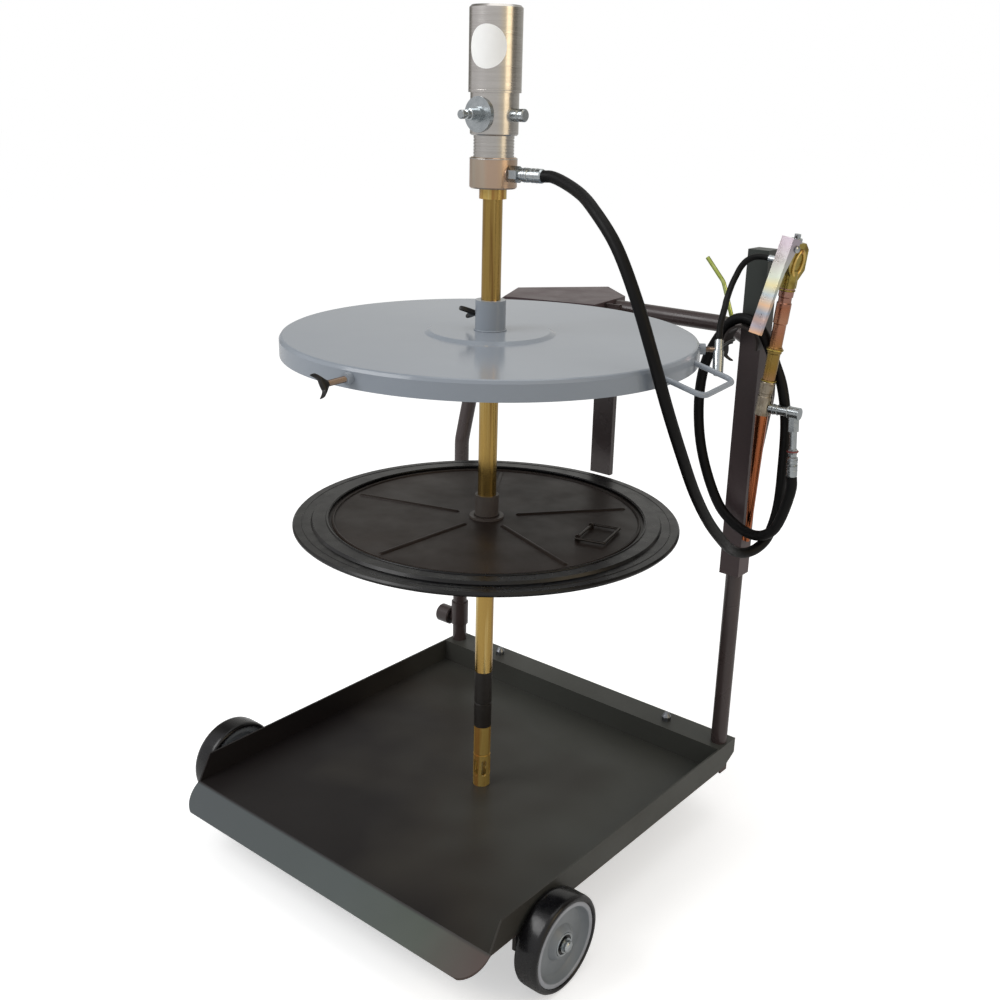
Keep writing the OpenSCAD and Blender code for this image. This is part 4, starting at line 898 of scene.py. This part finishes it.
@dataclass(frozen=True)
class RoadWheels:
    """The front wheels: rounded tyre, dished rim with a pale edge, bearing and domed nut.

    Attributes:
        places: Side, middle along X in source millimetres and direction of the outer face of each wheel.
        axle: The axle's place along Y and its height.
        pieces: The pieces of a wheel.
        nut: The axle's end nut, which stays with the trolley.
    """

    places: tuple[tuple[str, float, int], ...] = (("Left", -367.4, -1), ("Right", 335.4, 1))
    axle: tuple[float, float] = (-190.0, 72.0)
    pieces: tuple[WheelPiece, ...] = (
        WheelPiece("Tyre", ((62.6, -16.5), (63.5, -18.2), (66.5, -19.0), (69.4, -18.2), (71.4, -15.2), (72.0, -11.0),
                            (72.0, 11.0), (71.4, 15.2), (69.4, 18.2), (66.5, 19.0), (63.5, 18.2), (62.6, 16.5)),
                   96, True, TYRE, "tyre_rubber", 50, "tyre_"),
        WheelPiece("Rim", ((6.3, -16.0), (20.0, -16.0), (25.0, -6.0), (51.0, -4.0), (55.5, -16.0), (62.6, -16.5),
                           (62.6, 16.8), (61.5, 17.6), (57.0, 17.6), (55.8, 16.6), (53.5, 9.0), (50.0, 5.2),
                           (34.0, 4.6), (27.0, 6.5), (22.5, 12.5), (20.0, 14.6), (17.6, 14.6), (17.6, 13.0),
                           (6.3, 13.0)), 96, False, RIM, "rim_grey", 30, "rim_"),
        WheelPiece("RimEdge", ((55.9, 16.7), (57.1, 17.8), (61.4, 17.8), (62.5, 16.9)), 96, True, RIM_EDGE, "rim_grey"),
        WheelPiece("BearingRace", ((14.6, 12.6), (14.6, 15.2), (15.2, 15.6), (17.0, 15.6), (17.4, 15.0), (17.4, 12.6)),
                   48, True, ZINC, "rim_grey"),
        WheelPiece("BearingSeal", ((8.8, 12.6), (8.8, 14.2), (14.8, 14.2), (14.8, 12.6)), 48, True, KNOB, "rim_grey"))
    nut: WheelPiece = WheelPiece("HubNut", ((11.0, 16.3), (11.0, 17.9), (8.5, 17.9), (8.5, 21.8), (7.9, 23.2),
                                            (6.2, 24.3), (3.4, 24.9), (0.5, 25.0)), 48, False, ZINC, "bright_zinc")

    def build(self) -> None:
        """Make each piece once, copy it for the other wheel and set all in place of the CAD wheels."""
        every = self.pieces + (self.nut,)
        shapes = [copies_of(turned(list(piece.steps), piece.sides, piece.ring), len(self.places)) for piece in every]
        for number, (side, x, way) in enumerate(self.places):
            seat = spin_at(place(x, *self.axle), (90 * way, "Y"))
            for piece, made in zip(every, shapes):
                body = "trolley" if piece is self.nut else "wheel_" + side.lower()
                item = settle(made[number], side + piece.name, seat, piece.finish, body, piece.angle)
                if piece.stands_for:
                    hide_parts(piece.stands_for + side.lower())
            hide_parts("axle_caps")


@dataclass(frozen=True)
class MotorLabel:
    """A plain round label on the air motor's barrel.

    Attributes:
        radius: Radius of the label in millimetres.
        barrel: Radius of the barrel in millimetres.
        angle: Where its middle faces, in degrees round the pump.
        height: Height of its middle in millimetres.
        film: Thickness of the film in millimetres.
    """

    radius: float = 27.5
    barrel: float = 36.0
    angle: float = -70.0
    height: float = 1237.0
    film: float = 0.25

    def build(self) -> None:
        """Cut a disc, wrap it round the barrel and give it its film's thickness."""
        clear_selection()
        bpy.ops.mesh.primitive_circle_add(vertices=96, radius=self.radius * MM, fill_type="TRIFAN")
        item = bpy.context.object
        bpy.ops.object.mode_set(mode="EDIT")
        bpy.ops.mesh.select_all(action="SELECT")
        bpy.ops.mesh.subdivide(number_cuts=6)
        bpy.ops.object.mode_set(mode="OBJECT")
        for vertex in item.data.vertices:
            turn = vertex.co.x / (self.barrel * MM)
            vertex.co = (self.barrel * MM * math.cos(turn), self.barrel * MM * math.sin(turn), vertex.co.y)
        sheet = item.modifiers.new("Film", "SOLIDIFY")
        sheet.thickness = self.film * MM
        sheet.offset = 1.0
        apply_modifiers(item)
        bpy.ops.object.mode_set(mode="EDIT")
        bpy.ops.mesh.select_all(action="SELECT")
        bpy.ops.mesh.normals_make_consistent(inside=False)
        bpy.ops.object.mode_set(mode="OBJECT")
        seat = spin_at(place(PUMP_X, 0, self.height), (self.angle, "Z"))
        settle(item, "MotorLabel", seat, LABEL, "pump")


@dataclass(frozen=True)
class RingSet:
    """Round beads on the pump axis that ride on one body.

    Attributes:
        name: First part of the pieces' names.
        body: The body that carries them.
        slot: The record's material slot; not used.
        finish: Their finish.
        beads: Radius, thickness and height of each, in millimetres.
    """

    name: str
    body: str
    slot: str
    finish: Finish
    beads: tuple[tuple[float, float, float], ...]

    def build(self) -> None:
        """Make each bead."""
        for count, (radius, thick, height) in enumerate(self.beads, 1):
            item = ring_bead(radius, thick)
            settle(item, f"{self.name}{count}", spin_at(place(PUMP_X, 0, height)), self.finish, self.body,
                   60)


RING_SETS = (
    # Moulded wiping ridges of the follower's rubber lip.
    RingSet("LipRidge", "follower", "lip_rubber", LIP_RUBBER,
            ((277.0, 2.0, 571.6), (240.5, 3.6, 575.6))),
    # Weld beads round the sleeves of the cover and the follower.
    RingSet("CoverWeld", "cover", "cover_paint", COVER_PAINT, ((22.6, 2.6, 858.4),)),
    RingSet("SleeveWeld", "follower", "follower_paint", FOLLOWER_PAINT, ((18.6, 2.4, 575.6),)),
    # Machined lips on the pump head.
    RingSet("HeadRing", "pump", "motor_nickel", NICKEL, ((35.4, 1.6, 1183.2), (32.6, 1.4, 1094.6))),
)


@dataclass(frozen=True)
class GunTrim:
    """Small fittings on the control gun: pivot heads, neck rings and safety link, in millimetres.

    Attributes:
        foot: The lower end of the gun's axis, in the source.
        tilt: Degrees that the gun leans from +Z towards +X.
        turn: Degrees that it is turned about its own axis.
        body_up: Where the body starts, along the gun.
        pivot_up: The lever's pivot, over the start of the body.
        pivot_out: The pivot's place across the body.
        half_width: From the gun's middle to a pivot head.
        head: Radius and height of each step of a pivot head.
        rings: Radius, thickness and place along the gun of each ring.
        link_at: The link's place across and along the body's side, and its height over the body's start.
        link: Radius and thickness of the link.
        link_tilt: Degrees that the link leans.
        link_stretch: How much longer than wide the link is.
        ring_sides: Steps round a ring.
        link_sides: Steps round the link.
    """

    foot: Point = (338.0, 272.0, 737.0)
    tilt: float = 6.1
    turn: float = -13.0
    body_up: float = 191.0
    pivot_up: float = 57.0
    pivot_out: float = -10.0
    half_width: float = 11.0
    head: tuple[tuple[float, float], ...] = ((5.0, 0.0), (5.0, 1.6), (4.0, 2.6), (0.5, 3.0))
    rings: tuple[Point, ...] = ((10.6, 3.0, 188.0), (11.2, 3.2, 100.0), (10.8, 2.0, 53.0))
    link_at: Point = (9.0, 3.0, 36.0)
    link: tuple[float, float] = (9.0, 3.6)
    link_tilt: float = -14.0
    link_stretch: float = 1.9
    ring_sides: int = 40
    link_sides: int = 48

    def seat(self, up: float) -> Matrix:
        """Return the gun's own frame at a height along it, in millimetres."""
        return spin_at(place(*self.foot), (self.tilt, "Y")) @ spin_at(Vector((0, 0, up * MM)), (self.turn, "Z"))

    def build(self) -> None:
        """Make the fittings."""
        pivot = self.seat(self.body_up + self.pivot_up) @ Matrix.Translation((0, self.pivot_out * MM, 0))
        heads = copies_of(turned(list(self.head), 24), 2)
        for head, name, way in zip(heads, ("PivotHeadRight", "PivotHeadLeft"), (1, -1)):
            side = pivot @ Matrix.Translation((way * self.half_width * MM, 0, 0)) @ spin_at(Vector(), (90 * way, "Y"))
            settle(head, name, side, ZINC, "trolley")
        for count, (radius, thick, up) in enumerate(self.rings, 1):
            settle(ring_bead(radius, thick, self.ring_sides), f"GunRing{count}", self.seat(up), GUN_ZINC, "trolley",
                   60)
        out, along, up = self.link_at
        link = self.seat(self.body_up + up) @ Matrix.Translation((out * MM, along * MM, 0))
        link = link @ spin_at(Vector(), (self.link_tilt, "X"), (90, "Y"))
        link = link @ Matrix.Diagonal((self.link_stretch, 1.0, 1.0, 1.0))
        settle(ring_bead(*self.link, self.link_sides), "SafetyLink", link, FOOT_GOLD, "trolley", 60)


@dataclass(frozen=True)
class FerruleRings:
    """Crimped rings round a hose's end fitting.

    Attributes:
        name: First part of the pieces' names.
        body: The body that carries them.
        seat: Where the fitting starts, in source millimetres.
        turn: Degrees about Y from +Z to the fitting's axis.
        rings: Radius, thickness, place along the axis and finish of each.
        sides: Steps round a ring.
    """

    name: str
    body: str
    seat: Point
    turn: float
    rings: tuple[tuple[float, float, float, Finish], ...]
    sides: int = 40

    def build(self) -> None:
        """Make each ring."""
        axis = spin_at(place(*self.seat), (self.turn, "Y"))
        for count, (radius, thick, along, finish) in enumerate(self.rings, 1):
            seat = axis @ Matrix.Translation((0, 0, along * MM))
            settle(ring_bead(radius, thick, self.sides), f"{self.name}{count}", seat, finish, self.body,
                   60)


FERRULES = (
    FerruleRings("PumpCrimp", "pump", (35.5, 0.0, 1075.75), 90.0,
                 ((9.1, 1.4, 56.0, INNER), (9.1, 1.4, 60.0, INNER), (9.2, 1.2, 70.0, ZINC), (9.2, 1.2, 77.0, ZINC))),
    FerruleRings("GunCrimp", "trolley", (389.0, 272.0, 748.0), 175.83,
                 ((7.6, 2.6, 57.5, RED_RING), (7.7, 1.6, 70.0, INNER), (7.7, 1.2, 78.0, ZINC),
                  (7.7, 1.2, 86.0, ZINC))),
    FerruleRings("ElbowRing", "trolley", (350.6, 272.0, 748.0), 90.0,
                 ((7.2, 2.0, 6.0, INNER), (7.4, 1.6, 13.0, ZINC), (8.8, 1.6, 30.5, ZINC))),
)


# The studio's walls as metal shows them, once round from -X: white soft boxes with a dark gap between.
STUDIO_WALLS = ((0.0, "#a5a29c"), (0.03, "#e6e4e6"), (0.2, "#efeef0"), (0.4, "#f2f0ee"), (0.46, "#fff2d8"),
                (0.53, "#fff0d2"), (0.56, "#6f6a62"), (0.62, "#77736b"), (0.66, "#aaa8a2"), (0.86, "#d8d7d3"),
                (0.95, "#6f6d69"), (1.0, "#a5a29c"))


@dataclass(frozen=True)
class Studio:
    """Pale floor, soft lamps and the photograph's camera.

    Attributes:
        eye: The camera's place in source millimetres.
        right: The picture's right.
        up: The picture's up.
        ahead: The way that the camera looks.
        lens: Focal length in millimetres.
        sensor: Width of the sensor in millimetres.
        far: How far the camera sees, in metres.
        floor_lift: Light that the floor adds where the camera sees it, so that it reads as white.
        floor_size: The floor's side in metres.
        soft: Strength of the even light from all sides.
        lamps: Name, place, aim, side, power and colour of each soft box, in metres and watts.
    """

    eye: Point = (1111.0, -1281.8, 1176.5)
    right: Point = (0.76853, 0.63942, 0.02231)
    up: Point = (-0.22507, 0.23755, 0.94495)
    ahead: Point = (-0.59892, 0.73124, -0.32648)
    lens: float = 42.15
    sensor: float = 36.0
    far: float = 30.0
    floor_lift: float = 0.47
    floor_size: float = 60.0
    soft: float = 0.62
    lamps: tuple[tuple[str, Point, Point, float, float, str], ...] = (
        ("KeyBox", (-1.2, -2.2, 2.6), (0, 0, 0.6), 1.6, 42, "#ffffff"),
        ("SideBox", (2.6, 0.3, 1.6), (0, 0, 0.7), 1.2, 9, "#ffe6bd"),
        ("TopBox", (0.2, 0.2, 3.2), (0, 0, 0.5), 1.8, 14, "#ffffff"))

    def camera(self) -> None:
        """Set the camera to the photograph's view."""
        data = bpy.data.cameras.new("PhotoView")
        data.lens = self.lens
        data.sensor_width = self.sensor
        data.clip_end = self.far
        item = bpy.data.objects.new("PhotoView", data)
        bpy.context.scene.collection.objects.link(item)
        right, up, back = Vector(self.right), Vector(self.up), -Vector(self.ahead)
        turn = Matrix((right, up, back)).transposed().to_4x4()
        item.matrix_world = Matrix.Translation(place(*self.eye)) @ turn
        bpy.context.scene.camera = item

    def floor(self) -> None:
        """Lay a pale floor that keeps the shadow and looks white to the camera."""
        clear_selection()
        bpy.ops.mesh.primitive_plane_add(size=self.floor_size, location=(0, 0, 0))
        item = bpy.context.object
        item.name = "StudioFloor"
        made = bpy.data.materials.new("PaleFloor")
        made.use_nodes = True
        tree = made.node_tree
        tree.nodes.clear()
        pale = add(tree, "ShaderNodeBsdfDiffuse", {"in:Color": linear("#eeeeee")})
        rays = add(tree, "ShaderNodeLightPath")
        seen = add(tree, "ShaderNodeMath", {"operation": "MULTIPLY", "in:1": self.floor_lift},
                   {0: rays.outputs["Is Camera Ray"]})
        lift = add(tree, "ShaderNodeEmission", {"in:Color": (1, 1, 1, 1)}, {"Strength": seen.outputs[0]})
        both = add(tree, "ShaderNodeAddShader", None, {0: pale.outputs[0], 1: lift.outputs[0]})
        add(tree, "ShaderNodeOutputMaterial", None, {"Surface": both.outputs[0]})
        item.data.materials.append(made)

    def world(self) -> None:
        """Light the scene softly from all sides and show white behind it."""
        world = bpy.data.worlds.new("StudioWorld")
        bpy.context.scene.world = world
        world.use_nodes = True
        tree = world.node_tree
        tree.nodes.clear()
        rays = add(tree, "ShaderNodeLightPath")
        where = add(tree, "ShaderNodeTexCoord")
        turn = add(tree, "ShaderNodeTexGradient", {"gradient_type": "RADIAL"}, {"Vector": where.outputs["Generated"]})
        walls = ramp_of(tree, turn.outputs["Fac"], STUDIO_WALLS)
        soft = add(tree, "ShaderNodeBackground", {"in:Color": (1, 1, 1, 1), "in:Strength": self.soft})
        shown = add(tree, "ShaderNodeBackground", {"in:Strength": 1.0}, {"Color": walls})
        white = add(tree, "ShaderNodeBackground", {"in:Color": (1, 1, 1, 1), "in:Strength": 1.0})
        gloss = add(tree, "ShaderNodeMixShader", None,
                    {0: rays.outputs["Is Glossy Ray"], 1: soft.outputs[0], 2: shown.outputs[0]})
        clear = add(tree, "ShaderNodeMath", {"operation": "MAXIMUM"},
                    {0: rays.outputs["Is Camera Ray"], 1: rays.outputs["Is Transmission Ray"]})
        mix = add(tree, "ShaderNodeMixShader", None,
                  {0: clear.outputs[0], 1: gloss.outputs[0], 2: white.outputs[0]})
        add(tree, "ShaderNodeOutputWorld", None, {"Surface": mix.outputs[0]})

    def lamp(self, name: str, where: Point, aim: Point, size: float, power: float, tint: str) -> None:
        """Hang one square soft box.

        Args:
            name: The lamp's name.
            where: Its place in the row frame, in metres.
            aim: The point that it faces.
            size: Its side in metres.
            power: Its power in watts.
            tint: Its sRGB colour.
        """
        data = bpy.data.lights.new(name, "AREA")
        data.shape = "SQUARE"
        data.size = size
        data.energy = power
        data.color = linear(tint)[:3]
        item = bpy.data.objects.new(name, data)
        bpy.context.scene.collection.objects.link(item)
        way = Vector(aim) - Vector(where)
        item.rotation_euler = way.to_track_quat("-Z", "Y").to_euler()
        item.location = where

    def build(self) -> None:
        """Set up camera, floor, world and lamps."""
        self.camera()
        self.floor()
        self.world()
        for lamp in self.lamps:
            self.lamp(*lamp)
        bpy.context.scene.view_settings.view_transform = "Standard"


def main() -> None:
    """Build the visual model on the frame."""
    logging.basicConfig(level=logging.INFO, format="%(message)s")
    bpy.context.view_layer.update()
    dress_nodes()
    hang_hoses()
    WingScrews().build()
    RoadWheels().build()
    MotorLabel().build()
    for rings in RING_SETS:
        rings.build()
    GunTrim().build()
    for fitting in FERRULES:
        fitting.build()
    Studio().build()


if __name__ == "__main__":
    main()
